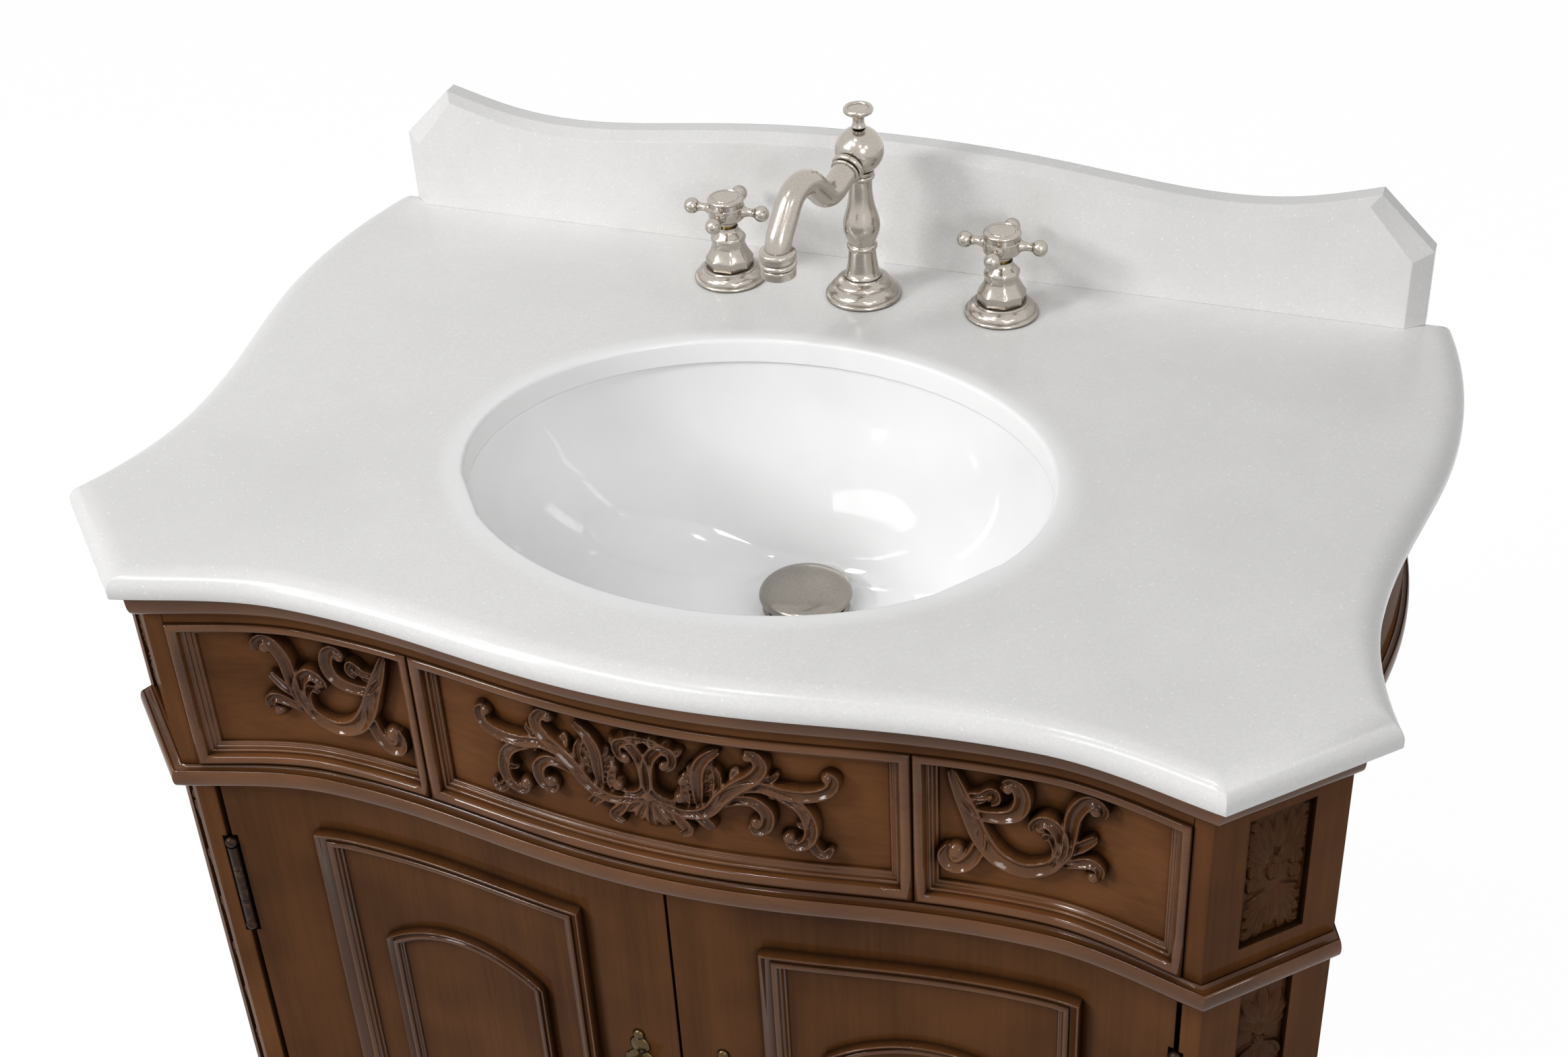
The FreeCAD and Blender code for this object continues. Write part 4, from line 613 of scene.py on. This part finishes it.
side_bead = [(inward, proud * 0.625) for inward, proud in bead]
side_arch_bead = [(inward, proud * 0.67) for inward, proud in arch_bead]
rail_low, rail_high, arch_low, spring, arch_rise = 188.5, 652.5, 224.5, 562.5, 21.0
door_frame_x, door_arch_x = (61.5, 261.7), (99.0, 224.2)
side_frame_y, side_arch_y = (-93.0, 216.0), (-55.5, 178.5)
for side, way in hands:
    bm = bmesh.new()
    planted_frame(bm, *door_frame_x, rail_low, rail_high, bead, on_door)
    plant("door_frame_run_" + side, bm, way, "door_" + side, "door_frame_" + side)
    bm = bmesh.new()
    arched_frame(bm, *door_arch_x, arch_low, spring, arch_rise, arch_bead, on_door)
    plant("door_arch_run_" + side, bm, way, "door_" + side, "door_arch_" + side)
    bm = bmesh.new()
    planted_frame(bm, *side_frame_y, rail_low, rail_high, side_bead, on_side)
    arched_frame(bm, *side_arch_y, arch_low, spring, arch_rise, side_arch_bead, on_side)
    plant("side_frame_run_" + side, bm, way, "case", "side_frames_" + side)

# Butt hinges with ball tips on the door edges: cast, oiled bronze, worn brighter in random patches.
bronze = Finish("dark_bronze")
bronze_cloud = bronze.noise(160.0, 3.0)
bronze_wear = bronze.ramp(bronze_cloud, 0.5, 0.75)
bronze.surface(Base_Color=bronze.mix(bronze_wear, stain(52, 40, 32), stain(104, 82, 62)), Metallic=1.0,
               Roughness=0.42 - 0.14 * bronze_wear, Normal=bronze.bump(bronze_cloud, 0.15, 0.0003))
dress(bronze, "hinge_fixed_leaves", "hinge_pins", "hinge_leaves_left", "hinge_leaves_right")

# Door pulls: a cast back plate of leaf and bead forms, with a turned drop on a pin.
# Brass with a patina that stays dark in the hollows; screwed to the doors near their meeting edges.
brass = Finish("antique_brass")
brass_cloud = brass.noise(220.0, 3.0)
brass_dark = brass.ramp(brass.hollows(0.004) + 0.5 * brass_cloud, 0.3, 0.95)
brass.surface(Base_Color=brass.mix(brass_dark, stain(86, 71, 49), stain(28, 20, 13)), Metallic=1.0,
              Roughness=0.26 + 0.3 * brass_dark, Normal=brass.bump(brass_cloud, 0.15, 0.0003))


def turn(bm, profile, x, y, z, steps=48):
    """A turned piece: profile points are (radius, height), spun about an upright line."""
    line = [bm.verts.new((x + r, y, z + h)) for r, h in profile]
    edges = [bm.edges.new(pair) for pair in zip(line, line[1:])]
    bmesh.ops.spin(bm, geom=line + edges, cent=(x, y, z), axis=(0, 0, 1), angle=2 * math.pi, steps=steps,
                   use_merge=True)


pull_x, pull_y, pull_z, plate_top, plate_long, plate_proud = 30.0, -246.2, 520.2, 551.5, 92, 3.4
plate_bosses = [(0.05, 4.2), (0.16, 7.5), (0.34, 11.5), (0.52, 8.5), (0.7, 6.0), (0.84, 7.5), (0.95, 4.0)]
drop = rounded([(0.1, 2.6), (2.6, 2.0), (3.4, 0.2), (2.8, -2.0), (1.9, -4.4), (2.4, -6.4), (2.2, -8.0),
                (3.4, -12.0), (5.8, -20.0), (7.6, -27.0), (7.9, -31.0), (6.8, -36.0), (4.2, -39.4),
                (2.6, -40.4), (3.2, -41.8), (2.4, -43.6), (0.1, -44.0)])
for side, way in hands:
    bm = bmesh.new()
    for share, radius in plate_bosses:
        bud(bm, pull_x, plate_top - plate_long * share, radius, plate_proud)
    for up in (-1, 1):
        for lean in (-1, 1):
            lobe(bm, pull_x, plate_top - 31 - 8 * up, lean * (90 - 48 * up), 17, 6.5, plate_proud)
    stroke(bm, [(pull_x, plate_top - low) for low in (6, 45, 86)], 7.0, 2.6, 0.0, 0.8, 0.8)
    bend_to_front(bm, door_in)
    for lean in (-1, 1):
        lug = bmesh.ops.create_cone(bm, cap_ends=True, segments=20, radius1=3.4, radius2=2.6, depth=16.0)
        tilt(bm, lug["verts"], 90, "X")
        bmesh.ops.translate(bm, vec=(pull_x + 5.6 * lean, pull_y + 6.0, pull_z), verts=lug["verts"])
    bmesh.ops.scale(bm, vec=(way, 1, 1), verts=bm.verts)
    plate = place("pull_backplate_" + side, bm, brass, "antique_brass", "door_" + side, "pull_plate_" + side)
    carve(plate, 0.0005)
    bm = bmesh.new()
    turn(bm, drop, way * pull_x, pull_y, pull_z)
    place("pull_drop_turned_" + side, bm, brass, "antique_brass", "drop_" + side, "pull_drop_" + side)

# Marble top with serpentine edges and clipped corners, and the splash behind it.
# White crystalline marble, polished; the edge is a flat under a broad rounded bevel, the opening is eased.
deck, slab_low, bevel_in, bevel_rise = 880.0, 862.0, 18.0, 12.0
bowl_y, bowl_long, bowl_deep, drain_y = -36.3, 193.0, 152.5, 43.0
marble = Finish("white_marble")
cloud = marble.noise(3.2, 5.0, 0.6)
vein = marble.noise(9.0, 6.0, 0.7)
cells = {"Vector": marble.place(), "Scale": 900.0}
cell_colour = marble.add("ShaderNodeTexVoronoi", {"feature": "F1"}, cells, 1)
crystal = marble.add("ShaderNodeSeparateColor", None, {0: cell_colour})
grey = marble.ramp(cloud + 0.35 * vein, 0.5, 0.95)
glint = marble.ramp(crystal, 0.985, 0.997)
pale = marble.mix(grey, stain(241, 240, 239), stain(228, 227, 225))
pale = marble.mix(0.35 * crystal, pale, stain(216, 216, 215))
white = stain(254, 254, 254)
# Painted glow: within about an eighth of the bowl's size round the opening, the marble is painted up to near
# white, standing in for light thrown back by the bowl.
oval = {"Vector": marble.add("ShaderNodeTexCoord", out=3), "Location": (0, -bowl_y / bowl_deep, 0),
        "Scale": (1000 / bowl_long, 1000 / bowl_deep, 0)}
oval = marble.add("ShaderNodeMapping", None, oval)
glow_from_bowl = marble.add("ShaderNodeVectorMath", {"operation": "LENGTH"}, {0: oval}, 1)
pale = marble.mix(marble.ramp(glow_from_bowl, 1.0, 1.12, 0.85, 0.0), pale, white)
marble.surface(Base_Color=marble.mix(glint * 0.7, pale, white), Roughness=0.15 + 0.08 * crystal,
               Normal=marble.bump(crystal, 0.02, 0.0001, 0.0012))


def slab_ring(inset, z):
    """The slab's outline set in by a distance, closed along the back."""
    line = plan(inset, inset, inset, back_y - inset)
    end = line[-1][0]
    line += [(end - 2 * end * i / 24, back_y - inset) for i in range(1, 24)]
    return [(x, y, z) for x, y in line]


def opening_ring(grow, z):
    """The bowl's opening, with a point toward each point of the slab's outline."""
    ring = []
    for x, y, height in slab_ring(0.0, 0.0):
        a = math.atan2((y - bowl_y) / bowl_deep, x / bowl_long)
        ring.append(((bowl_long + grow) * math.cos(a), bowl_y + (bowl_deep + grow) * math.sin(a), z))
    return ring


bm = bmesh.new()
eased = [(0.0, slab_low), (0.0, 877.0), (0.4, 878.5), (1.5, 879.6), (3.0, deck), (12.0, deck)]
rings = [opening_ring(grow, z) for grow, z in eased] + [slab_ring(30.0, deck), slab_ring(bevel_in, deck)]
for step in range(7, -1, -1):
    angle = math.radians(90.0 * step / 8)
    rings.append(slab_ring(bevel_in * (1 - math.cos(angle)), deck - bevel_rise + bevel_rise * math.sin(angle)))
rings += [slab_ring(inset, z) for inset, z in ((0.0, 863.6), (0.5, 862.5), (1.6, slab_low))]
rings += [opening_ring(0.0, slab_low)]
loft(bm, rings)
place("marble_top", bm, marble, "marble", "case", "countertop", crease=35)
dress(marble, "backsplash")

# Undermount basin: an oval bowl of vitreous china with a thick white glaze, hung under the top by four clips.
glaze = Finish("white_glaze")
ripple = glaze.noise(14.0, 2.0)
speck = glaze.noise(900.0, 2.0)
glaze_tone = glaze.mix(glaze.ramp(ripple, 0.3, 0.7), stain(249, 249, 249), stain(252, 252, 252))
glaze.surface(Base_Color=glaze_tone, Roughness=0.05 + 0.03 * speck, Normal=glaze.bump(ripple, 0.05, 0.0006),
              Coat_Weight=1.0)
bowl_fall, bowl_wall, rim_wide, rim_share, drain_radius = 154.0, 9.0, 20.0, 14.0 / 163.0, 22.5
sections = flowing([(1.015, 0.0, 0.0), (0.985, 0.21, 0.02), (0.9, 0.47, 0.12), (0.725, 0.73, 0.36),
                    (0.49, 0.92, 0.68), (0.27, 1.0, 1.0)], 6)
round_angles = [math.pi * k / 60 for k in range(120)]


def bowl_ring(size, drop, shift, grow):
    """A level section of the bowl; size, drop and shift toward the drain are shares."""
    y = bowl_y + shift * (drain_y - bowl_y)
    z = slab_low - drop * (bowl_fall + grow)
    long, deep = bowl_long * size + grow, bowl_deep * size + grow
    return [(long * math.cos(a), y + deep * math.sin(a), z) for a in round_angles]


bm = bmesh.new()
drain_hole = [(drain_radius * math.cos(a), drain_y + drain_radius * math.sin(a)) for a in round_angles]
rings = [bowl_ring(1.0, rim_share, 0, rim_wide), bowl_ring(1.0, 0.0, 0.0, rim_wide)]
rings += [bowl_ring(*section, 0.0) for section in sections]
rings += [[(x, y, z) for x, y in drain_hole] for z in (708.0, 699.0)]
rings += [bowl_ring(*section, bowl_wall) for section in reversed(sections) if section[1] > 0.09]
rings += [bowl_ring(1.0, rim_share, 0, rim_wide)]
loft(bm, rings)
place("basin_bowl", bm, glaze, "glazed_white", "case", "sink_basin", crease=35)

# Clips that hold the basin: bent strips of bright zinc-plated steel, screwed up into the marble.
zinc = Finish("zinc_steel")
spangle = zinc.add("ShaderNodeTexVoronoi", {"feature": "F1"}, {"Vector": zinc.place(), "Scale": 180.0}, 1)
spangle_tone = zinc.add("ShaderNodeSeparateColor", None, {0: spangle})
zinc.surface(Base_Color=zinc.mix(spangle_tone, stain(176, 178, 180), stain(206, 208, 210)), Metallic=1.0,
             Roughness=0.28 + 0.16 * spangle_tone)
dress(zinc, "sink_clips")

# Faucet: turned column with a swivelling ball and S-shaped spout, two cross handles on eight-sided bells.
# Cast and turned brass, plated in satin nickel; nuts below the marble hold the three shanks.
def satin_nickel(name, depth):
    metal = Finish(name)
    brushing = metal.noise(1.0, 3.0, 0.6, (700, 700, 2600))
    smear = metal.noise(60.0, 2.0)
    pale, warm = stain(192 * depth, 185 * depth, 176 * depth), stain(178 * depth, 170 * depth, 160 * depth)
    satin = metal.mix(metal.ramp(brushing, 0.3, 0.7), warm, pale)
    # Painted shade: ambient occlusion within 12 mm turns the nickel toward a dark grey between rings and under
    # the handles.
    satin = metal.mix(metal.ramp(metal.hollows(0.012), 0.15, 0.75) * 0.85, satin, stain(56, 51, 46))
    return metal.surface(Base_Color=satin, Metallic=1.0, Roughness=0.13 + 0.06 * brushing + 0.06 * smear)


nickel = satin_nickel("satin_nickel", 1.0)
faucet_y, handle_x = 191.0, 101.6
bm = bmesh.new()
flange = [(12.1, 0.0), (26.6, 0.0)] + rounded([(27.0, 0.4), (27.2, 1.6), (26.6, 2.9), (25.4, 3.3)])
flange += [(25.0, 3.5)] + rounded([(25.0, 4.3), (24.2, 6.2), (22.2, 8.2), (20.4, 9.2)]) + [(20.0, 9.5)]
flange += [(20.0, 10.3)] + rounded([(19.9, 11.2), (18.8, 12.8), (16.6, 13.9), (14.8, 14.6), (14.2, 15.4)])
turn(bm, flange + [(14.0, 16.2), (12.1, 16.2)], 0, faucet_y, deck, 72)
place("spout_flange_turned", bm, nickel, "brushed_nickel", "case", "spout_flange")
bm = bmesh.new()
column = [(3.5, -58.0), (12.0, -58.0), (12.0, 16.4), (13.4, 16.6)]
column += rounded([(13.4, 17.4), (12.2, 19.0), (11.3, 22.0), (10.4, 28.0), (9.8, 34.0), (9.6, 37.2)])
column += [(9.7, 37.6)] + rounded([(10.6, 38.2), (11.0, 39.5), (10.6, 40.8), (9.8, 41.4)]) + [(9.6, 41.8)]
column += rounded([(10.0, 43.6), (11.2, 47.0), (12.5, 51.0), (13.1, 55.0), (12.9, 59.0), (11.7, 64.0),
                   (10.0, 70.0), (8.8, 77.0), (8.3, 83.0), (8.3, 88.0), (8.7, 91.5)]) + [(9.0, 92.0)]
column += rounded([(9.9, 92.6), (10.3, 93.9), (9.9, 95.2)]) + [(9.2, 95.6), (9.2, 96.6), (9.9, 97.2)]
turn(bm, column + [(9.9, 98.5), (3.5, 98.5), (3.5, -58.0)], 0, faucet_y, deck, 64)
place("spout_column_turned", bm, nickel, "brushed_nickel", "case", "spout_column")


def tube(bm, line, radii, sides=40):
    """A round bar along a line in an upright plane, with its own radius at each point."""
    rings = []
    for i, spot in enumerate(line):
        ahead = (line[min(i + 1, len(line) - 1)] - line[max(i - 1, 0)]).normalized()
        level = Vector((0, 1, 0))
        rise = ahead.cross(level)
        ring = []
        for k in range(sides):
            angle = 2 * math.pi * k / sides
            ring.append(spot + level * (radii[i] * math.cos(angle)) + rise * (radii[i] * math.sin(angle)))
        rings.append(ring)
    for edges in loft(bm, rings):
        bmesh.ops.contextual_create(bm, geom=edges)


spout_radius, spout_reach, spout_turn = 9.0, 111.6, 90 - 11.4


def spout_line():
    """The spout's middle line, drawn toward -x: straight runs with an arc in each of three corners."""
    turns = ((6.0, 111.0), (44.6, 96.5), (82.0, 134.0), (spout_reach, 93.0), (spout_reach, 82.4))
    corners = [Vector((-out, 0, z)) for out, z in turns]
    line = [corners[0]]
    for i, radius in enumerate((17.0, 21.0, 26.0)):
        before, corner, after = corners[i:i + 3]
        way_in, way_out = (before - corner).normalized(), (after - corner).normalized()
        half = way_in.angle(way_out) / 2
        run = radius / math.tan(half)
        hub = corner + (way_in + way_out).normalized() * (radius / math.sin(half))
        start, end = corner + way_in * run - hub, corner + way_out * run - hub
        line += [hub + radius * start.slerp(end, k / 14) for k in range(15)]
    return line + [corners[-1]]


def swing(bm):
    tilt(bm, bm.verts, spout_turn, "Z")
    bmesh.ops.translate(bm, vec=(0, faucet_y, deck), verts=bm.verts)


bm = bmesh.new()
path = spout_line()
tube(bm, path, [spout_radius] * len(path))
leave = (path[1] - path[0]).normalized()
for start, end, radius in ((9.0, 13.4, 11.8), (14.2, 16.6, 10.6)):
    stations = [path[0] + leave * (start + (end - start) * k / 6) for k in range(7)]
    tube(bm, stations, [radius - 1.6 + 1.6 * math.sin(math.pi * k / 6) ** 0.5 for k in range(7)])
ball_radius, ball_z, ball_start, ball_end = 17.0, 113.0, 0.59, 2.98
ball = [(7.05, 98.9)]
for k in range(25):
    a = ball_start + (ball_end - ball_start) * k / 24
    ball.append((ball_radius * math.sin(a), ball_z - ball_radius * math.cos(a)))
turn(bm, ball + [(2.4, 129.8), (2.4, 110.0), (7.05, 110.0), (7.05, 98.9)], 0, 0, 0, 56)
swing(bm)
place("spout_bent", bm, nickel, "brushed_nickel", "spout", "spout_arm")
bm = bmesh.new()
nozzle = [(0.05, 75.0), (8.6, 75.0), (8.6, 71.0), (11.0, 71.0)]
nozzle += rounded([(11.6, 71.3), (11.9, 72.2), (11.9, 76.6), (11.5, 77.6)]) + [(11.0, 77.9)]
nozzle += rounded([(11.6, 78.3), (12.5, 79.4), (12.5, 80.8), (11.6, 81.9)]) + [(11.0, 82.3), (11.0, 83.2)]
nozzle += rounded([(11.8, 83.6), (12.4, 84.4), (12.4, 88.2), (11.8, 89.4)])
turn(bm, nozzle + [(10.6, 90.0), (9.0, 90.6), (0.05, 90.6)], -spout_reach, 0, 0, 48)
swing(bm)
place("spout_aerator", bm, nickel, "brushed_nickel", "spout", "aerator")
bm = bmesh.new()
knob = [(0.05, -108.0), (2.2, -108.0), (2.2, 130.5), (4.9, 130.5)]
knob += rounded([(4.9, 131.2), (4.2, 133.0), (4.0, 135.6), (4.6, 138.2), (6.8, 140.2), (9.4, 141.2)])
knob += [(10.0, 141.6)] + rounded([(10.4, 142.4), (10.4, 143.8), (9.6, 145.0)])
turn(bm, knob + [(8.2, 145.4), (7.4, 145.0), (7.0, 144.2), (0.05, 144.2)], 0, faucet_y, deck, 48)
place("lift_knob", bm, nickel, "brushed_nickel", "lift", "lift_rod")

bm = bmesh.new()
skirt = [(12.1, 0.0), (25.6, 0.0)] + rounded([(26.0, 0.4), (26.2, 1.5), (25.6, 2.7), (24.4, 3.1)])
skirt += [(24.0, 3.3)] + rounded([(24.0, 4.0), (23.3, 5.8), (21.6, 7.6), (19.8, 8.6)])
skirt += [(19.3, 8.9), (19.3, 9.8), (18.6, 10.5), (12.1, 10.5), (12.1, 0.0)]
for x in (-handle_x, handle_x):
    turn(bm, skirt, x, faucet_y, deck, 72)
place("handle_flanges_turned", bm, nickel, "brushed_nickel", "case", "handle_flanges")

bell_radius, flats_top, half_flat = 17.2, 18.0, math.radians(22.5)
bell = [(10.65, 0.98), (11.4, 1.0), (17.6, 1.0), (18.2, 0.97), (19.4, 0.92), (21.4, 0.85), (23.6, 0.78),
        (25.8, 0.725), (27.6, 0.7), (29.2, 0.71), (30.8, 0.735), (32.4, 0.745), (33.8, 0.725), (35.2, 0.66),
        (36.6, 0.57), (38.0, 0.5), (39.4, 0.455), (41.4, 0.44)]
bm = bmesh.new()
for x in (-handle_x, handle_x):
    rings = []
    for z, size in bell:
        sharp = 0.92 if z < flats_top else 0.6
        ring = []
        for k in range(48):
            a = math.radians(22.5 + 7.5 * k)
            flat = math.cos(half_flat) / math.cos((a - half_flat) % (2 * half_flat) - half_flat)
            r = bell_radius * size * (sharp * flat + 1 - sharp)
            ring.append((x + r * math.cos(a), faucet_y + r * math.sin(a), deck + z))
        rings.append(ring)
    for edges in loft(bm, rings):
        bmesh.ops.contextual_create(bm, geom=edges)
place("handle_bells", bm, nickel, "brushed_nickel", "case", "bonnets", crease=30)


def join(bm, extra):
    """Adds one mesh being made to another."""
    carrier = bpy.data.meshes.new("carrier")
    extra.to_mesh(carrier)
    extra.free()
    bm.from_mesh(carrier)
    bpy.data.meshes.remove(carrier)


arm_z, tip_out, tip_radius = 54.0, 26.5, 5.8
arm_stations = (9.0, 12.6, 13.6, 14.4, 15.6, 17.4, 19.4, 20.4, 21.0, 21.6, 22.2)
arm_line = [Vector((out, 0, arm_z)) for out in arm_stations]
arm_radii = [4.4, 4.4, 4.3, 3.7, 3.2, 2.9, 2.8, 3.1, 3.4, 3.1, 2.7]
hub = [(5.0, 43.4), (6.4, 43.4)]
hub += rounded([(6.6, 44.2), (6.8, 45.6), (8.6, 46.6), (11.2, 47.4), (12.8, 48.8)]) + [(13.1, 49.6)]
hub += [(13.2, 57.4), (12.6, 57.9), (12.5, 61.6)]
hub += rounded([(12.9, 62.0), (13.2, 62.8), (12.6, 63.8), (11.4, 64.4)])
hub += [(10.8, 64.4), (10.4, 63.9), (9.2, 63.9), (8.9, 64.3), (0.05, 64.3)]
hub += [(0.05, 52.4), (5.0, 52.4), (5.0, 43.4)]
for side, x, body in (("left", -handle_x, "hot_handle"), ("right", handle_x, "cold_handle")):
    bm = bmesh.new()
    turn(bm, hub, 0, 0, 0, 56)
    for quarter in range(4):
        arm = bmesh.new()
        tube(arm, arm_line, arm_radii, 24)
        tip = bmesh.ops.create_uvsphere(arm, u_segments=24, v_segments=16, radius=tip_radius)["verts"]
        bmesh.ops.translate(arm, vec=(tip_out, 0, arm_z), verts=tip)
        tilt(arm, arm.verts, 90 * quarter, "Z")
        join(bm, arm)
    bmesh.ops.translate(bm, vec=(x, faucet_y, deck), verts=bm.verts)
    place("cross_handle_" + side, bm, nickel, "brushed_nickel", body, "handle_" + side)

# Pop-up drain: flange in the bowl, domed stopper standing open on the pivot rod.
# The same satin nickel, painted darker as painted shade down in the bowl; the cap is turned with a rounded
# shoulder over a dark gap.
bm = bmesh.new()
eye_z = 638.45
dome = [(0.05, 644.2), (4.0, 644.2), (4.0, 716.8), (29.0, 716.8)]
dome += rounded([(31.6, 717.2), (32.9, 718.4), (33.0, 720.0), (32.4, 721.6)])
dome += rounded([(31.0, 723.0), (26.0, 724.9), (18.0, 726.2), (9.0, 726.7), (0.05, 726.8)])
turn(bm, dome, 0, 0, 0, 72)
eye = bmesh.new()
turn(eye, [(4.2, -1.5), (7.5, -1.5), (7.5, 1.5), (4.2, 1.5), (4.2, -1.5)], 0, 0, 0)
tilt(eye, eye.verts, 90, "X")
bmesh.ops.translate(eye, vec=(0, 0, eye_z), verts=eye.verts)
join(bm, eye)
bmesh.ops.translate(bm, vec=(0, drain_y, 0), verts=bm.verts)
# Painted shade: the drain's copy of the nickel is painted darker (0.82) than the faucet's.
drain_nickel_shaded = satin_nickel("drain_nickel_shaded", 0.82)
place("stopper_cap", bm, drain_nickel_shaded, "brushed_nickel", "stopper", "drain_stopper")
dress(drain_nickel_shaded, "drain_flange")

# Plumbing under the top: valve bodies, nuts, drain body, tailpiece, lift strap and pivot rod.
# Plain machined brass, a little tarnished.
raw_brass = Finish("machined_brass")
lathe = raw_brass.noise(1.0, 3.0, 0.6, (60, 60, 2200))
tarnish = raw_brass.noise(30.0, 3.0)
raw_tone = raw_brass.mix(raw_brass.ramp(tarnish, 0.3, 0.75), stain(204, 172, 104), stain(166, 132, 74))
raw_brass.surface(Base_Color=raw_tone, Metallic=1.0, Roughness=0.26 + 0.12 * lathe + 0.1 * tarnish,
                  Normal=raw_brass.bump(lathe, 0.08, 0.0002))
dress(raw_brass, "valve_bodies", "faucet_nuts", "lift_strap", "drain_body", "drain_locknut", "tailpiece",
      "pivot_rod")

# Studio: a pale floor, white to the camera but for its shadow, soft lamps and the camera of the photograph.
floor_mesh = bpy.data.meshes.new("studio_floor")
bm = bmesh.new()
bmesh.ops.create_grid(bm, x_segments=1, y_segments=1, size=12.0)
bm.to_mesh(floor_mesh)
bm.free()
floor = bpy.data.objects.new("studio_floor", floor_mesh)
bpy.context.scene.collection.objects.link(floor)
pale_floor = Finish("pale_floor")
pale_floor.surface(Base_Color=(0.5, 0.5, 0.5, 1), Roughness=0.9)
rays = ["Is Camera Ray", "Is Glossy Ray", "Is Transmission Ray"]
seen = sum(pale_floor.add("ShaderNodeLightPath", out=ray) for ray in rays)
glow = pale_floor.add("ShaderNodeEmission", None, {"Color": (1, 1, 1, 1), "Strength": 1.13})
pale_shader = Value(pale_floor, pale_floor.shader.outputs[0])
floor_mix = pale_floor.add("ShaderNodeMixShader", None, {0: seen * 0.85, 1: pale_shader, 2: glow})
pale_floor.feed(pale_floor.tree.nodes["Material Output"].inputs[0], floor_mix)
floor_mesh.materials.append(pale_floor.material)

world = bpy.data.worlds.new("white_studio")
bpy.context.scene.world = world
world.use_nodes = True
sky = world.node_tree
path_node = sky.nodes.new("ShaderNodeLightPath")
either = sky.nodes.new("ShaderNodeVectorMath")
either.operation = "LENGTH"
together = sky.nodes.new("ShaderNodeCombineXYZ")
for entry, ray in enumerate(rays):
    sky.links.new(path_node.outputs[ray], together.inputs[entry])
sky.links.new(together.outputs[0], either.inputs[0])
level = sky.nodes.new("ShaderNodeMapRange")
level.inputs["To Min"].default_value = 0.26
level.inputs["To Max"].default_value = 1.0
sky.links.new(either.outputs["Value"], level.inputs["Value"])
ground = sky.nodes["Background"]
ground.inputs["Color"].default_value = (1, 1, 1, 1)
sky.links.new(level.outputs[0], ground.inputs["Strength"])


def lamp(name, spot, aim, width, height, power):
    light = bpy.data.lights.new(name, "AREA")
    light.shape = "RECTANGLE"
    light.size, light.size_y, light.energy = width, height, power
    holder = bpy.data.objects.new(name, light)
    holder.location = spot
    holder.rotation_euler = (Vector(aim) - Vector(spot)).to_track_quat("-Z", "Y").to_euler()
    bpy.context.scene.collection.objects.link(holder)


lamp("softbox_left", (-2.2, -2.0, 2.6), (0, 0, 0.7), 0.7, 0.7, 44)
lamp("softbox_top", (-0.9, -1.25, 2.8), (0, 0, 0.7), 1.2, 0.25, 10)
lamp("softbox_right", (1.8, -2.4, 2.0), (0, 0, 0.6), 0.7, 0.7, 15)
sparks = [(-1.5, -1.5, 3.0), (0.9, -1.9, 2.9), (-0.4, -0.7, 3.2), (-2.0, -1.0, 1.8), (2.0, -1.2, 2.4)]
for number, spot in enumerate(sparks):
    lamp("spark_%d" % number, spot, (0, 0, 0.8), 0.1, 0.1, 3)

azimuth, elevation, roll = math.radians(21.354), math.radians(35.361), math.radians(-3.288)
camera_place, focal_pixels, photo_pixels, film = (0.4518, -1.1474, 1.6797), 3346.44, 2327.0, 36.0
flat, rise = math.cos(elevation), math.sin(elevation)
back = Vector((math.sin(azimuth) * flat, -math.cos(azimuth) * flat, rise))
level_right = Vector((math.cos(azimuth), math.sin(azimuth), 0))
right = math.cos(roll) * level_right + math.sin(roll) * back.cross(level_right)
facing = Matrix((right, back.cross(right), back)).transposed().to_4x4()
lens = bpy.data.cameras.new("camera")
lens.lens, lens.sensor_width, lens.sensor_fit = film * focal_pixels / photo_pixels, film, "HORIZONTAL"
lens.clip_start = 0.05
camera = bpy.data.objects.new("camera", lens)
camera.matrix_world = Matrix.Translation(camera_place) @ facing
bpy.context.scene.collection.objects.link(camera)
bpy.context.scene.camera = camera
bpy.context.scene.view_settings.view_transform = "Standard"
